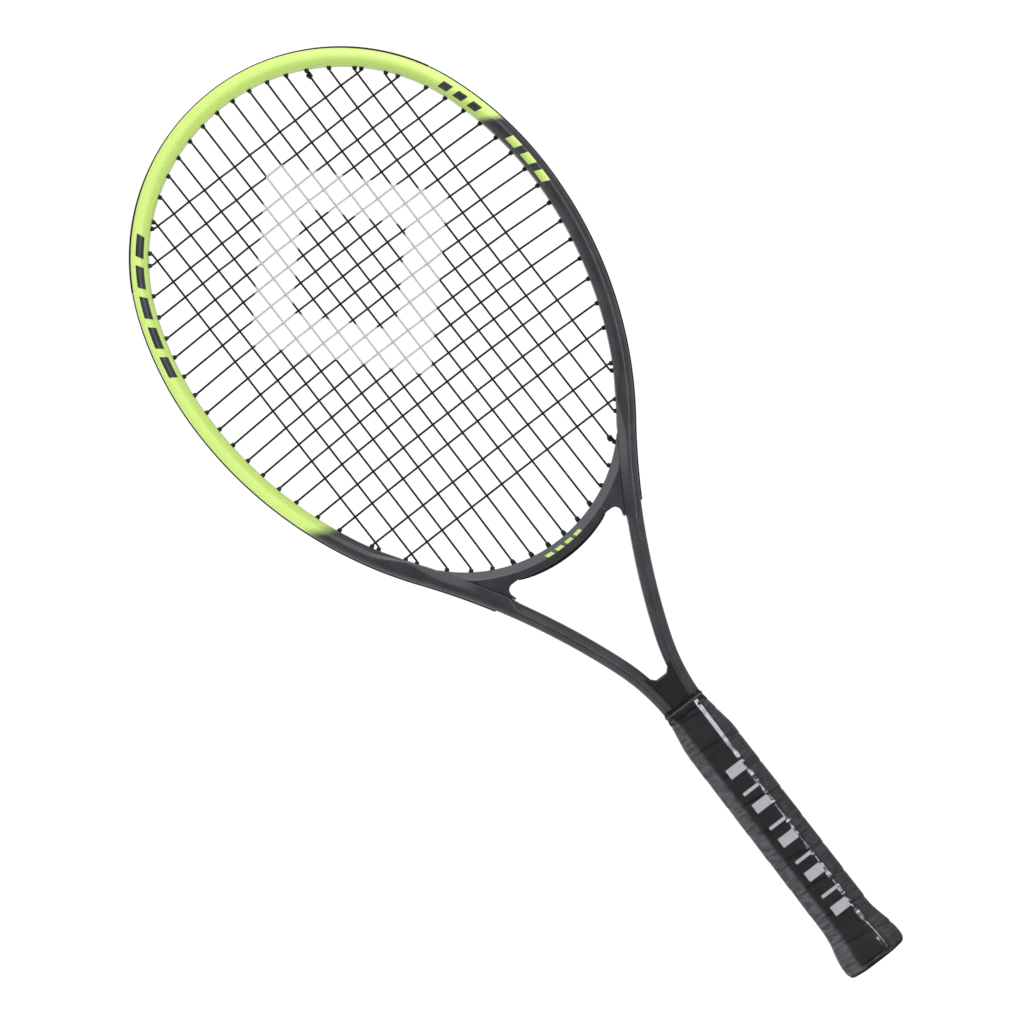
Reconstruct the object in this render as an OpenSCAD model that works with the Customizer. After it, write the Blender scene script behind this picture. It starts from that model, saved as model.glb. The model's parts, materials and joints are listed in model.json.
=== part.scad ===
// Tennis racket, standing upright. +Z runs from the butt to the tip of the head, the strings lie
// in the XZ plane and the front face looks along -Y. The origin is the centre of the butt's end
// face. All sizes are in millimetres.

/* [Overall] */
// Overall length from the butt's end face to the outside of the bumper
racket_length = 685.8; // [660:0.1:737]
// Depth of the frame from front face to back face
beam_depth = 23; // [18:0.5:28]
// Width of the hoop tube seen from the front
hoop_width = 10.8; // [8:0.1:14]
// Width of each shaft tube seen from the front
shaft_width = 9.9; // [7:0.1:12]
// Wall thickness of the hollow tube
tube_wall = 1.3; // [0.8:0.1:2.5]

/* [Outline of the tube's outer face, from the tip down] */
// Radius over the tip
tip_radius = 131.7; // [110:0.1:150]
// Half the angle of the tip bend
tip_angle = 69.4; // [55:0.1:80]
// Radius round the shoulder
shoulder_radius = 220; // [180:1:260]
// Angle of the shoulder bend
shoulder_angle = 19.9; // [10:0.1:30]
// Radius down the side
side_radius = 270.5; // [230:0.5:320]
// Angle of the side bend
side_angle = 37; // [25:0.1:45]
// Radius of the reverse bend through the throat
throat_radius = 468; // [350:1:600]
// Angle of the throat bend
throat_angle = 16.6; // [10:0.1:25]
// Radius of the reverse bend into the neck
neck_radius = 134; // [90:1:180]

/* [Tube section] */
// Size of the 45 degree bevel on the hoop's outer edges
hoop_bevel = 2.6; // [0.5:0.1:4]
// Width and depth of the bevel on the hoop's inner edges
hoop_inner_bevel = [4.2, 2.9]; // [0.5:0.1:6]
// Width and depth of the bevel on the shafts' outer edges
shaft_bevel = [4.3, 2.9]; // [0.5:0.1:6]
// Width and depth of the bevel on the shafts' inner edges
shaft_inner_bevel = [4.1, 2.6]; // [0.5:0.1:6]
// Half width of the groove that takes the grommet strips
groove_half = 3; // [2:0.1:4]
// Depth of that groove
groove_depth = 2.6; // [1.5:0.1:3.5]
// Angle of the throat bend that still carries a grommet strip
strip_throat_angle = 6.2; // [2:0.1:10]

/* [Throat bridge] */
// Height of the bridge's inner face at the centre line
bridge_z = 330.1; // [300:0.1:360]
// Thickness of the bridge at the centre line, without its grommet strip
bridge_thickness = 10.1; // [6:0.1:14]
// Depth of the bridge from front to back
bridge_depth = 22; // [16:0.5:26]
// Half the width of the free arch between the two notches
arch_half = 36; // [25:0.5:45]
// Radius of the notch beside each leg
notch_radius = 4.5; // [2:0.1:8]
// Distance from the centre line where each leg joins the arch
leg_root = 28; // [20:0.5:34]
// Height of the lower end of each leg
leg_z = 317; // [305:0.5:325]
// Distance of the lower end of each leg from the centre line
leg_x = 42.4; // [35:0.1:50]
// Step from the bridge's faces down to the faces of its legs
leg_step = 0.4; // [0.1:0.1:2]

/* [Neck] */
// Height of the flat at the bottom of the V
v_z = 222.7; // [210:0.1:235]
// Half width of that flat
v_half = 4; // [2:0.1:8]
// Rise of the filler's top from the flat out to the shafts
v_rise = 7.4; // [4:0.1:12]
// Half width of the filler where it runs under the shafts' bevels
filler_half = 11; // [9:0.1:13]
// Height where the full tube section stops and the slimmer handle section starts
neck_z = 199.7; // [190:0.1:205]

/* [Strings] */
// String diameter
string_d = 1.3; // [1.1:0.01:1.4]
// Distance between the mains in the middle of the head
main_pitch = 11.7; // [9:0.1:14]
// Extra distance out to the outermost main
main_spread = 4.3; // [0:0.1:8]
// Distance the top ends of the mains stand further out than their middles
main_flare = 1.2; // [0:0.1:3]
// The same at the bottom, where the outermost mains lean in instead
main_low_flare = 1; // [0:0.1:3]
// Mains on each side of the centre line
mains_per_side = 8; // [7:1:10]
// Height of the middle of the lowest cross
cross_start = 379.7; // [360:0.1:400]
// Gaps between the crosses, from the lowest pair to the highest pair
cross_gaps = [19.7, 20.9, 15.3, 16, 13.8, 13.4, 13.1, 13.5, 12.8, 12.8, 12.8, 12.8, 12.6, 12.1,
              12.8, 12.2, 16, 17.2];
// Distance the ends of the crosses across the widest part of the head hang below their middles
cross_sag = 3.7; // [0:0.1:6]
// How far a string hole leans from square to the frame towards the string
hole_lean = 0.25; // [0:0.05:1]

/* [Grommets and bumper] */
// Half the length of the throat strip
throat_strip_half = 34; // [25:0.5:35]
// Outside radius of a grommet barrel
barrel_r = 1.5; // [1.2:0.05:2]
// Length of barrel that shows inside the head
barrel_out = 2.2; // [0:0.1:5]
// Thickness of the strips outside the tube
strip_thickness = 1; // [0.5:0.1:3]
// Half width of the side strips
strip_half = 4.5; // [3.5:0.1:8]
// Half width of the bumper guard
bumper_half = 8.5; // [5:0.1:9]
// Half the angle covered by the bumper guard
bumper_angle = 62; // [40:1:69]

/* [Handle] */
// Half width of the grip at heights up the handle
grip_half_x = [[0, 20.2], [1.5, 21.2], [8.5, 21.6], [15, 20.6], [23, 18.6], [31, 17.3],
               [174, 17.3], [187, 15.3], [199.5, 13.4]];
// Half depth of the grip at heights up the handle
grip_half_y = [[0, 18.2], [1.5, 19.2], [8.5, 19.6], [15, 18.6], [23, 16.6], [31, 15.3],
               [174, 15.3], [187, 13.6], [199.5, 11.6]];
// Half width of the front flat at heights up the handle
grip_flat = [[0, 10.9], [8.5, 11.2], [31, 9.1], [174, 9.1], [199.5, 9.2]];
// Thickness of the wound grip
wrap_thickness = 1.7; // [1:0.1:3]
// Height of the lower edge of the wrap
wrap_z = 4.2; // [2:0.1:10]
// Height of the top of the butt cap's skirt
skirt_z = 31.5; // [20:0.5:40]
// Radius of the round opening in the butt cap
door_hole_r = 11; // [8:0.1:13]
// Width of the seat round that opening
door_seat = 1; // [0.5:0.1:2]

/* [Hidden] */
gap = 0.05;                                   // bonded and seated pieces stand this far apart
fine = 96;                                    // facets of round shapes
string_r = string_d / 2;
loop_depth = 1;                               // string loops run this far inside the outer face
channel_half = 2.2;                           // half width of the string channel in a strip
channel_depth = loop_depth + string_r + 0.1;
bore_r = string_r + 0.15;
hole_r = barrel_r + 0.1;
sag_centre = 503;                             // height where the crosses hang the most
sag_spread = 80;                              // height over which that fades
leg_hole_lean = 0.45;                         // downward lean of the string holes through the legs
bypass = 2 * string_r + 0.15;                 // sideways step of a loop that passes another string
weave = 2 * string_r + 0.04;                  // cross string's distance off the mains at a crossing
tube_inset = 3.6;                             // inner face of a handle tube from the centre line
handle_tube_width = 7.6;
handle_tube_depth = 14.2;
lap = 0.15;                                   // degrees by which neighbouring bends overlap
thin = 0.02;                                  // each bend's wall is thinner by this on both faces

function polar(r, a) = [r * cos(a), r * sin(a)];
function unit(v) = v / norm(v);

// Centres of the outline's bends in the XZ plane, each tangent to the one before
a_shoulder = 90 - tip_angle;
a_side = a_shoulder - shoulder_angle;
a_throat = a_side - side_angle + 180;
a_neck = a_throat + throat_angle;
c_tip = [0, racket_length - strip_thickness - tip_radius];
c_shoulder = c_tip + polar(tip_radius - shoulder_radius, a_shoulder);
c_side = c_shoulder + polar(shoulder_radius - side_radius, a_side);
c_throat = c_side - polar(side_radius + throat_radius, a_throat);
c_neck = c_throat + polar(throat_radius - neck_radius, a_neck);
neck_x = c_neck[0] - neck_radius;
a_strip_end = a_throat + strip_throat_angle;
a_plug = 179 - asin((neck_z - c_neck[1]) / (neck_radius + shaft_width / 2));

// The bridge's inner arc is tangent to the inside of the side bend
inner_side = side_radius - hoop_width;
rise = c_side[1] - bridge_z;
bridge_radius = (inner_side * inner_side - c_side[0] * c_side[0] - rise * rise)
                / (2 * (inner_side - rise));
c_bridge = [0, bridge_z + bridge_radius];

// String positions
function main_x(i) = main_pitch * (i + 0.5) + main_spread * pow(i / (mains_per_side - 1), 5);
cross_count = len(cross_gaps) + 1;
function cross_z(k) = k == 0 ? cross_start : cross_z(k - 1) + cross_gaps[k - 1];
// Places of that main's top and bottom ends, and how far a cross hangs at its ends
function main_top_x(i) = main_x(i) + main_flare * sin(1.8 * main_x(i));
function main_low_x(i) = main_x(i) + main_low_flare * sin(2.6 * main_x(i));
function sag(k) = cross_sag * exp(-pow((cross_z(k) - sag_centre) / sag_spread, 2));

// Distance along direction d from p to the circle (c, r): leaving it, or reaching it from outside
function leaving(p, d, c, r) = let (b = d * (p - c)) sqrt(b * b - (p - c) * (p - c) + r * r) - b;
function reaching(p, d, c, r) = let (b = d * (p - c)) -b - sqrt(b * b - (p - c) * (p - c) + r * r);

// A string end on the right half: [barrel mouth, direction outwards, length to the channel]
function top_end(i) =
    let (x = main_top_x(i), r = tip_radius - hoop_width - barrel_out)
    let (m = [x, c_tip[1] + sqrt(r * r - x * x)])
    let (d = unit(unit(m - c_tip) + [0, hole_lean]))
    [m, d, leaving(m, d, c_tip, tip_radius - loop_depth)];

function bridge_mouth(i) =
    let (x = main_low_x(i), r = bridge_radius - barrel_out)
    [x, c_bridge[1] - sqrt(r * r - x * x)];

function bridge_end(i) =
    let (m = bridge_mouth(i), d = [0, -1])
    [m, d, leaving(m, d, c_bridge, bridge_radius + bridge_thickness - loop_depth)];

function leg_end(i) =
    let (m = bridge_mouth(i), d = unit(unit(c_throat - m) - [0, leg_hole_lean]))
    [m, d, reaching(m, d, c_throat, throat_radius + loop_depth)];

function low_end(i) =
    let (x = main_low_x(i), r = inner_side - barrel_out, dx = x - c_side[0])
    let (m = [x, c_side[1] - sqrt(r * r - dx * dx)])
    let (d = unit(unit(m - c_side) + [0, -hole_lean]))
    [m, d, leaving(m, d, c_side, side_radius - loop_depth)];

function bottom_end(i) = i < 3 ? bridge_end(i) : i < 6 ? leg_end(i) : low_end(i);

function bend_at(z) =
    z > c_tip[1] + (tip_radius - hoop_width) * sin(a_shoulder) ? [c_tip, tip_radius]
    : z > c_shoulder[1] + (shoulder_radius - hoop_width) * sin(a_side)
        ? [c_shoulder, shoulder_radius]
    : [c_side, side_radius];

function side_end(k) =
    let (z = cross_z(k) - sag(k), bend = bend_at(z), c = bend[0], dz = z - c[1])
    let (r = bend[1] - hoop_width - barrel_out, m = [c[0] + sqrt(r * r - dz * dz), z])
    let (d = unit(unit(m - c) + [hole_lean, 0]))
    [m, d, leaving(m, d, c, bend[1] - loop_depth)];

// Cross strings whose holes lie inside the bumper guard
first_bumper_cross = cross_count - 2;

// ---------------------------------------------------------------------------------------------
// Building blocks
// ---------------------------------------------------------------------------------------------

// Sweeps a section [radius, y] round a bend between two angles
module bend(centre, from, to) {
    translate([centre[0], 0, centre[1]])
    rotate([90, 0, 0])
    rotate([0, 0, min(from, to)])
    rotate_extrude(angle = abs(to - from), $fn = 2 * fine)
    children();
}

module both_sides() {
    children();
    mirror([1, 0, 0])
    children();
}

// Cylinder along a string end, from a distance before its mouth to a distance past the channel
module along_end(string_end, r, before, past) {
    m = string_end[0];
    d = string_end[1];
    translate([m[0], 0, m[1]])
    rotate([0, atan2(d[0], d[1]), 0])
    translate([0, 0, -before])
    cylinder(r = r, h = string_end[2] + before + past, $fn = 24);
}

// Sections are given from the outer face inwards; dir is -1 on a convex bend and 1 on a reverse one
function placed(points, r, dir) = [for (p = points) [r + dir * p[0], p[1]]];
function mirrored(points) = concat(points, [for (i = [len(points) - 1:-1:0])
                                            [points[i][0], -points[i][1]]]);

half_depth = beam_depth / 2;

// Each bend's section is thinner by t all round than the bend before it, so that where two bends
// overlap the thinner one ends inside the wall of the thicker one
function hoop_outside(t) = mirrored([
    [groove_depth + t, groove_half + t], [t, groove_half + t], [t, half_depth - hoop_bevel - t],
    [hoop_bevel + t, half_depth - t], [hoop_width - hoop_inner_bevel[0] - t, half_depth - t],
    [hoop_width - t, half_depth - hoop_inner_bevel[1] - t]]);
function hoop_inside(t) =
    let (wall = tube_wall - t, bevel = hoop_bevel + 0.5)
    mirrored([[groove_depth + wall, groove_half + wall], [wall, groove_half + wall],
              [wall, half_depth - bevel], [bevel, half_depth - wall],
              [hoop_width - hoop_inner_bevel[0] - 0.5, half_depth - wall],
              [hoop_width - wall, half_depth - hoop_inner_bevel[1] - 0.9]]);
function shaft_outside(t) = mirrored([
    [t, half_depth - shaft_bevel[1] - t], [shaft_bevel[0], half_depth - t],
    [shaft_width - shaft_inner_bevel[0], half_depth - t],
    [shaft_width - t, half_depth - shaft_inner_bevel[1] - t]]);
function shaft_inside(t) =
    let (wall = tube_wall - t)
    mirrored([[wall, half_depth - shaft_bevel[1] - 1], [shaft_bevel[0] + 0.3, half_depth - wall],
              [shaft_width - shaft_inner_bevel[0] - 0.3, half_depth - wall],
              [shaft_width - wall, half_depth - shaft_inner_bevel[1] - 0.9]]);

module ring_section(outside, inside, r, dir) {
    n = len(outside);
    polygon(concat(placed(outside, r, dir), placed(inside, r, dir)),
            paths = [[for (i = [0:n - 1]) i], [for (i = [n:n + len(inside) - 1]) i]]);
}

// Eight-sided ring of points for the handle, drawn inside the grip's surface by inset
function octagon(z, inset) =
    let (hx = lookup(z, grip_half_x) - inset, hy = lookup(z, grip_half_y) - inset)
    let (fx = lookup(z, grip_flat) - 0.41 * inset, fy = hy - (hx - fx))
    [[fx, -hy, z], [hx, -fy, z], [hx, fy, z], [fx, hy, z],
     [-fx, hy, z], [-hx, fy, z], [-hx, -fy, z], [-fx, -hy, z]];

// Solid skinned over rings of points, each with the same number of points
module skin(rings) {
    n = len(rings[0]);
    last = len(rings) - 1;
    polyhedron(
        points = [for (ring = rings) each ring],
        faces = concat(
            [[for (i = [0:n - 1]) i]],
            [for (j = [0:last - 1]) for (i = [0:n - 1])
                [(j + 1) * n + i, j * n + (i + 1) % n, j * n + i]],
            [for (j = [0:last - 1]) for (i = [0:n - 1])
                [(j + 1) * n + i, (j + 1) * n + (i + 1) % n, j * n + (i + 1) % n]],
            [[for (i = [n - 1:-1:0]) last * n + i]]));
}

// Heights of the grip's profile between two limits
function heights(low, high) = concat([low],
    [for (p = grip_half_x) if (p[0] > low && p[0] < high) p[0]], [high]);

module grip_solid(low, high, inset) {
    skin([for (z = heights(low, high)) octagon(z, inset)]);
}

// Round rod along a path of points, with flat facets
module rod(path, r, sides) {
    last = len(path) - 1;
    forward = [for (j = [0:last - 1]) unit(path[j + 1] - path[j])];
    tangent = [for (j = [0:last]) unit(forward[max(j - 1, 0)] + forward[min(j, last - 1)])];
    skin([for (j = [0:last])
        let (u = unit(cross([0, 1, 0], tangent[j])), v = cross(tangent[j], u))
        [for (i = [0:sides - 1])
            path[j] + r * cos(360 * i / sides) * u + r * sin(360 * i / sides) * v]]);
}

// ---------------------------------------------------------------------------------------------
// Frame
// ---------------------------------------------------------------------------------------------

module tube_half() {
    bend(c_shoulder, a_side, a_shoulder + lap)
    ring_section(hoop_outside(thin), hoop_inside(thin), shoulder_radius, -1);
    bend(c_side, a_throat - 180, a_side + lap)
    ring_section(hoop_outside(2 * thin), hoop_inside(2 * thin), side_radius, -1);
    bend(c_throat, a_throat - lap, a_strip_end)
    ring_section(hoop_outside(3 * thin), hoop_inside(3 * thin), throat_radius, 1);
    bend(c_throat, a_strip_end - lap, a_neck)
    ring_section(shaft_outside(4 * thin), shaft_inside(4 * thin), throat_radius, 1);
    bend(c_neck, a_neck - lap, a_plug)
    ring_section(shaft_outside(5 * thin), shaft_inside(5 * thin), neck_radius, 1);
    // thick end of the neck, where the slimmer handle tube starts
    bend(c_neck, a_plug - lap, a_plug + 1)
    ring_section(shaft_outside(6 * thin), mirrored([[3.9, 6.2], [8.2, 6.2]]), neck_radius, 1);
    handle_tube();
}

module handle_tube() {
    low = 12;
    wide = handle_tube_width;
    deep = handle_tube_depth;
    translate([tube_inset + wide / 2, 0, 0])
    difference() {
        translate([-wide / 2, -deep / 2, low])
        cube([wide, deep, neck_z + 1 - low]);
        translate([-wide / 2 + tube_wall, -deep / 2 + tube_wall, low - 1])
        cube([wide - 2 * tube_wall, deep - 2 * tube_wall, neck_z + 3 - low]);
    }
}

module string_holes() {
    both_sides() {
        for (i = [0:mains_per_side - 1])
            along_end(top_end(i), hole_r, 0, 4);
        for (i = [3:mains_per_side - 1])
            along_end(bottom_end(i), hole_r, 0, 4);
        for (k = [0:cross_count - 1])
            along_end(side_end(k), hole_r, 0, 4);
    }
}

module frame_tube() {
    color([0.27, 0.27, 0.29])
    difference() {
        union() {
            bend(c_tip, a_shoulder, 180 - a_shoulder)
            ring_section(hoop_outside(0), hoop_inside(0), tip_radius, -1);
            both_sides()
            tube_half();
        }
        string_holes();
    }
}

// Flat shape that joins the arch to one shaft, drawn in the XZ plane
module leg_shape() {
    leg_r = throat_radius + hoop_width + gap + 3 * thin;    // radius of the shaft's inner face
    leg_low = 180 - asin((leg_z - c_throat[1]) / leg_r);
    leg_high = a_throat + 0.9;                              // angle of the leg's upper end
    leg_tip = 1.1;                                          // width of the leg's lower end
    steps = 8;
    shaft_side = [for (i = [0:steps])
        c_throat + polar(leg_r, leg_low + (leg_high - leg_low) * i / steps)];
    notch_x = leg_x + leg_tip - notch_radius;
    notch_z = leg_z + notch_radius;
    difference() {
        polygon(concat([[leg_root, bridge_z + 8], [leg_root, notch_z + notch_radius],
                        [notch_x, notch_z + notch_radius], [notch_x, notch_z],
                        [notch_x + notch_radius, notch_z], [leg_x, leg_z]], shaft_side));
        translate([notch_x, notch_z])
        circle(r = notch_radius, $fn = fine);
    }
}

module throat_bridge() {
    deep = bridge_depth / 2;
    inner = bridge_radius;
    outer = bridge_radius + bridge_thickness;
    rim = 1.5;                                              // bevel on the arch's outer edges
    lip = [6, 5];                                           // bevel on the opening's edges
    arch_angle = asin(arch_half / outer);
    channel_angle = asin((main_low_x(2) + 1) / outer);
    color([0.33, 0.33, 0.35])
    difference() {
        union() {
            bend(c_bridge, 270 - arch_angle, 270 + arch_angle)
            polygon(mirrored([[inner - 2, deep], [outer - rim, deep], [outer, deep - rim]]));
            // the legs lie a little under the arch's faces
            both_sides()
            translate([0, deep - leg_step, 0])
            rotate([90, 0, 0])
            linear_extrude(height = bridge_depth - 2 * leg_step)
            leg_shape();
        }
        // the opening of the head, with its bevelled edges
        bend(c_bridge, 180, 360)
        polygon(mirrored([[inner - 30, deep + 1], [inner + lip[0], deep + 1],
                          [inner, deep - lip[1]]]));
        both_sides()
        for (i = [0:5])
            along_end(bottom_end(i), hole_r, 2, 4);
        // channel for the strings that run along the outside, under the throat strip
        bend(c_bridge, 270 - channel_angle, 270 + channel_angle)
        polygon(mirrored([[outer - loop_depth - string_r - 0.2, string_r + 0.4],
                          [outer + 3, string_r + 0.4]]));
    }
}

module neck_filler() {
    deep = half_depth - 0.6;
    inner = neck_radius + shaft_width + gap;                // radius of the shafts' inner faces
    bevel = shaft_inner_bevel;
    color([0.12, 0.12, 0.13])
    difference() {
        translate([0, deep, 0])
        rotate([90, 0, 0])
        linear_extrude(height = 2 * deep)
        polygon([[-filler_half, neck_z + gap], [filler_half, neck_z + gap],
                 [filler_half, v_z + v_rise], [v_half, v_z], [-v_half, v_z],
                 [-filler_half, v_z + v_rise]]);
        both_sides()
        bend(c_neck, 130, 190)
        polygon(mirrored([[60, half_depth + 1], [inner - bevel[0] - 1.6, half_depth + 1],
                          [inner - bevel[0], half_depth], [inner, half_depth - bevel[1]]]));
    }
}

// ---------------------------------------------------------------------------------------------
// Grommet strips and bumper guard
// ---------------------------------------------------------------------------------------------

// Section of a strip: a flange on the outer face and a key in the groove, with a string channel
function strip_section(half, t) = let (corner = 0.8) mirrored([
    [channel_depth + t, channel_half + t], [t - strip_thickness, channel_half + t],
    [t - strip_thickness, half - corner], [corner - 0.2 + t - strip_thickness, half - t],
    [-gap - t, half - t], [-gap - t, groove_half - 0.1 - t],
    [groove_depth - gap - t, groove_half - 0.1 - t]]);

module strip_polygon(half, t, r, dir) {
    polygon(placed(strip_section(half, t), r, dir));
}

module barrel(string_end) {
    along_end(string_end, barrel_r, 0, -0.9);
}

module bumper_guard() {
    color([0.07, 0.07, 0.07])
    difference() {
        union() {
            bend(c_tip, 90 - bumper_angle, 90 + bumper_angle)
            strip_polygon(bumper_half, 0, tip_radius, -1);
            both_sides() {
                for (i = [0:mains_per_side - 1])
                    barrel(top_end(i));
                for (k = [first_bumper_cross:cross_count - 1])
                    barrel(side_end(k));
            }
        }
        both_sides() {
            for (i = [0:mains_per_side - 1])
                along_end(top_end(i), bore_r, 1, 0.5);
            for (k = [first_bumper_cross:cross_count - 1])
                along_end(side_end(k), bore_r, 1, 0.5);
        }
    }
}

module side_strip() {
    color([0.07, 0.07, 0.07])
    difference() {
        union() {
            bend(c_tip, a_shoulder, 90 - bumper_angle - 0.1)
            strip_polygon(strip_half, 0, tip_radius, -1);
            bend(c_shoulder, a_side, a_shoulder + lap)
            strip_polygon(strip_half, thin, shoulder_radius, -1);
            bend(c_side, a_throat - 180, a_side + lap)
            strip_polygon(strip_half, 2 * thin, side_radius, -1);
            bend(c_throat, a_throat - lap, a_strip_end)
            strip_polygon(strip_half, 3 * thin, throat_radius, 1);
            for (i = [3:mains_per_side - 1])
                barrel(bottom_end(i));
            for (k = [0:first_bumper_cross - 1])
                barrel(side_end(k));
        }
        for (i = [3:mains_per_side - 1])
            along_end(bottom_end(i), bore_r, 1, 0.5);
        for (k = [0:first_bumper_cross - 1])
            along_end(side_end(k), bore_r, 1, 0.5);
    }
}

module grommet_strip_right() {
    side_strip();
}

module grommet_strip_left() {
    mirror([1, 0, 0])
    side_strip();
}

module grommet_strip_throat() {
    outer = bridge_radius + bridge_thickness + gap;
    strip_angle = asin(throat_strip_half / outer);
    color([0.07, 0.07, 0.07])
    difference() {
        union() {
            bend(c_bridge, 270 - strip_angle, 270 + strip_angle)
            polygon(mirrored([[outer, 3.6], [outer + 1.2, 3]]));
            both_sides()
            for (i = [0:2])
                along_end(bridge_end(i), barrel_r, 0, loop_depth + 0.5);
        }
        both_sides()
        for (i = [0:2])
            along_end(bridge_end(i), bore_r, 1, 4);
    }
}

// ---------------------------------------------------------------------------------------------
// Strings
// ---------------------------------------------------------------------------------------------

function at(p, y = 0) = [p[0], y, p[1]];
function mouth(string_end) = at(string_end[0]);
function exit_point(string_end) = at(string_end[0] + string_end[1] * string_end[2]);
function flip(p, side) = [side * p[0], p[1], p[2]];

// Main i where it is t of the way from its middle to an end
function main_at(i, t) =
    let (low = bottom_end(i)[0][1], high = top_end(i)[0][1])
    let (end_x = t > 0 ? main_top_x(i) : main_low_x(i))
    [main_x(i) + (end_x - main_x(i)) * t * t, 0, (low + high) / 2 + t * (high - low) / 2];

// One main from its bottom exit to its top exit, on the given side
function main_run(i, side) = [
    for (p = concat([exit_point(bottom_end(i))], [for (t = [-1:0.5:1]) main_at(i, t)],
                    [exit_point(top_end(i))])) flip(p, side)];

// Place of main i at height z
function main_x_at(i, z) =
    let (low = bottom_end(i)[0][1], high = top_end(i)[0][1])
    main_at(i, (2 * z - low - high) / (high - low))[0];
function backwards(list) = [for (i = [len(list) - 1:-1:0]) list[i]];

// Loop outside the frame that steps sideways past another string's exit; its middle stands out a
// little, away from the middle of the head
step_after = 1.9;
head_middle = [0, 0, 500];
function passing(a, b, y) =
    let (aside = [0, y, 0], middle = (a + b) / 2)
    [a + unit(b - a) * step_after + aside,
     middle + aside + unit(middle - head_middle) * 0.2,
     b + unit(a - b) * step_after + aside];

last_main = mains_per_side - 1;

function right_mains() = concat(
    [exit_point(bottom_end(last_main - 2)) + [2, bypass, 3]],      // free end, on to the knot
    passing(exit_point(bottom_end(last_main - 1)), exit_point(bottom_end(last_main)), bypass),
    [for (i = [last_main:-1:0])
        each concat(i % 2 == 1 ? main_run(i, 1) : backwards(main_run(i, 1)),
                    i == last_main
                        ? passing(exit_point(top_end(i)), exit_point(top_end(i - 1)), bypass)
                        : [])]);

function left_mains() = [for (i = [0:last_main])
    each concat(i % 2 == 0 ? main_run(i, -1) : backwards(main_run(i, -1)),
                i == last_main - 1
                    ? [for (p = passing(exit_point(top_end(i)), exit_point(top_end(i + 1)),
                                        bypass)) flip(p, -1)]
                    : [])];

module main_strings() {
    color([0.1, 0.1, 0.1])
    rod(concat(right_mains(), left_mains()), string_r, 8);
}

// Places of all the mains at height z, from left to right
function mains_across(z) = concat([for (i = [last_main:-1:0]) -main_x_at(i, z)],
                                  [for (i = [0:last_main]) main_x_at(i, z)]);

// One cross from left to right, over and under the mains it meets
function cross_run(k) =
    let (e = side_end(k), reach = e[0][0], turn = 0.9, mains = mains_across(cross_z(k)))
    concat([flip(exit_point(e), -1), flip(mouth(e), -1)],
           [for (j = [0:len(mains) - 1])
               if (abs(mains[j]) < reach - 2.5) each
                   [for (x = [mains[j] - turn, mains[j] + turn])
                       [x, ((j + k) % 2 == 0 ? 1 : -1) * weave,
                        cross_z(k) - sag(k) * pow(x / reach, 2)]]],
           [mouth(e), exit_point(e)]);

function cross_link(k) =
    let (side = k % 2 == 0 ? 1 : -1)
    let (a = exit_point(side_end(k)), b = exit_point(side_end(k + 1)))
    k == 0 || k == cross_count - 2 ? [for (p = passing(a, b, -bypass)) flip(p, side)] : [];

function all_crosses() = concat(
    [for (k = [0:cross_count - 1])
        each concat(k % 2 == 0 ? cross_run(k) : backwards(cross_run(k)),
                    k < cross_count - 1 ? cross_link(k) : [])],
    passing(exit_point(side_end(cross_count - 1)), exit_point(top_end(5)), -bypass),
    [exit_point(top_end(4)) + [2.5, -bypass, -1.2]]);

module cross_strings() {
    color([0.13, 0.13, 0.13])
    rod(all_crosses(), string_r, 6);
}

// Two turns of string round a main, just inside its barrel
module knot(string_end, down) {
    turns = 2;
    steps = 10;
    pitch = 2 * string_r + 0.15;
    start = 0.9;                                            // first turn's distance from the barrel
    tail = [0.6, 1.6, 1];                                   // short cut end beyond the last turn
    r = 2 * string_r + 0.05;
    m = string_end[0];
    color([0.1, 0.1, 0.1])
    rod(concat([for (i = [0:turns * steps])
                   [m[0] + r * cos(360 * i / steps), r * sin(360 * i / steps),
                    m[1] + down * (start + i * pitch / steps)]],
               [[m[0] + r + tail[0], tail[1], m[1] + down * (start + turns * pitch + tail[2])]]),
        string_r, 6);
}

module knot_head() {
    knot(top_end(4), -1);
}

module knot_throat() {
    knot(bottom_end(5), 1);
}

// ---------------------------------------------------------------------------------------------
// Handle
// ---------------------------------------------------------------------------------------------

pallet_top = 196;
pallet_low = 3.2;
pallet_inset = wrap_thickness + gap;
socket_half = [14.3, 12.3, 8.2];              // half width, half depth and half flat in the cap

function socket_ring(z, grow) =
    let (hx = socket_half[0] + grow, hy = socket_half[1] + grow, fx = socket_half[2] + 0.41 * grow)
    let (fy = hy - (hx - fx))
    [[fx, -hy, z], [hx, -fy, z], [hx, fy, z], [fx, hy, z],
     [-fx, hy, z], [-hx, fy, z], [-hx, -fy, z], [-fx, -hy, z]];

module pallet() {
    difference() {
        union() {
            skin([socket_ring(pallet_low, 0), socket_ring(skirt_z + 1, 0)]);
            grip_solid(skirt_z + gap, pallet_top, pallet_inset);
        }
        both_sides()
        translate([tube_inset - gap, -handle_tube_depth / 2 - gap, 10])
        cube([handle_tube_width + 2 * gap, handle_tube_depth + 2 * gap, 200]);
        // room behind the door
        translate([0, 0, pallet_low - 1])
        cylinder(r = door_hole_r - 1, h = 12, $fn = fine);
        for (side = [-1, 1])
            staple(side, 0.08);
    }
}

module pallet_front() {
    color([0.75, 0.72, 0.6])
    difference() {
        pallet();
        translate([-30, -gap / 2, -1])
        cube([60, 60, 210]);
    }
}

module pallet_back() {
    color([0.75, 0.72, 0.6])
    difference() {
        pallet();
        translate([-30, -60 + gap / 2, -1])
        cube([60, 60, 210]);
    }
}

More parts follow.
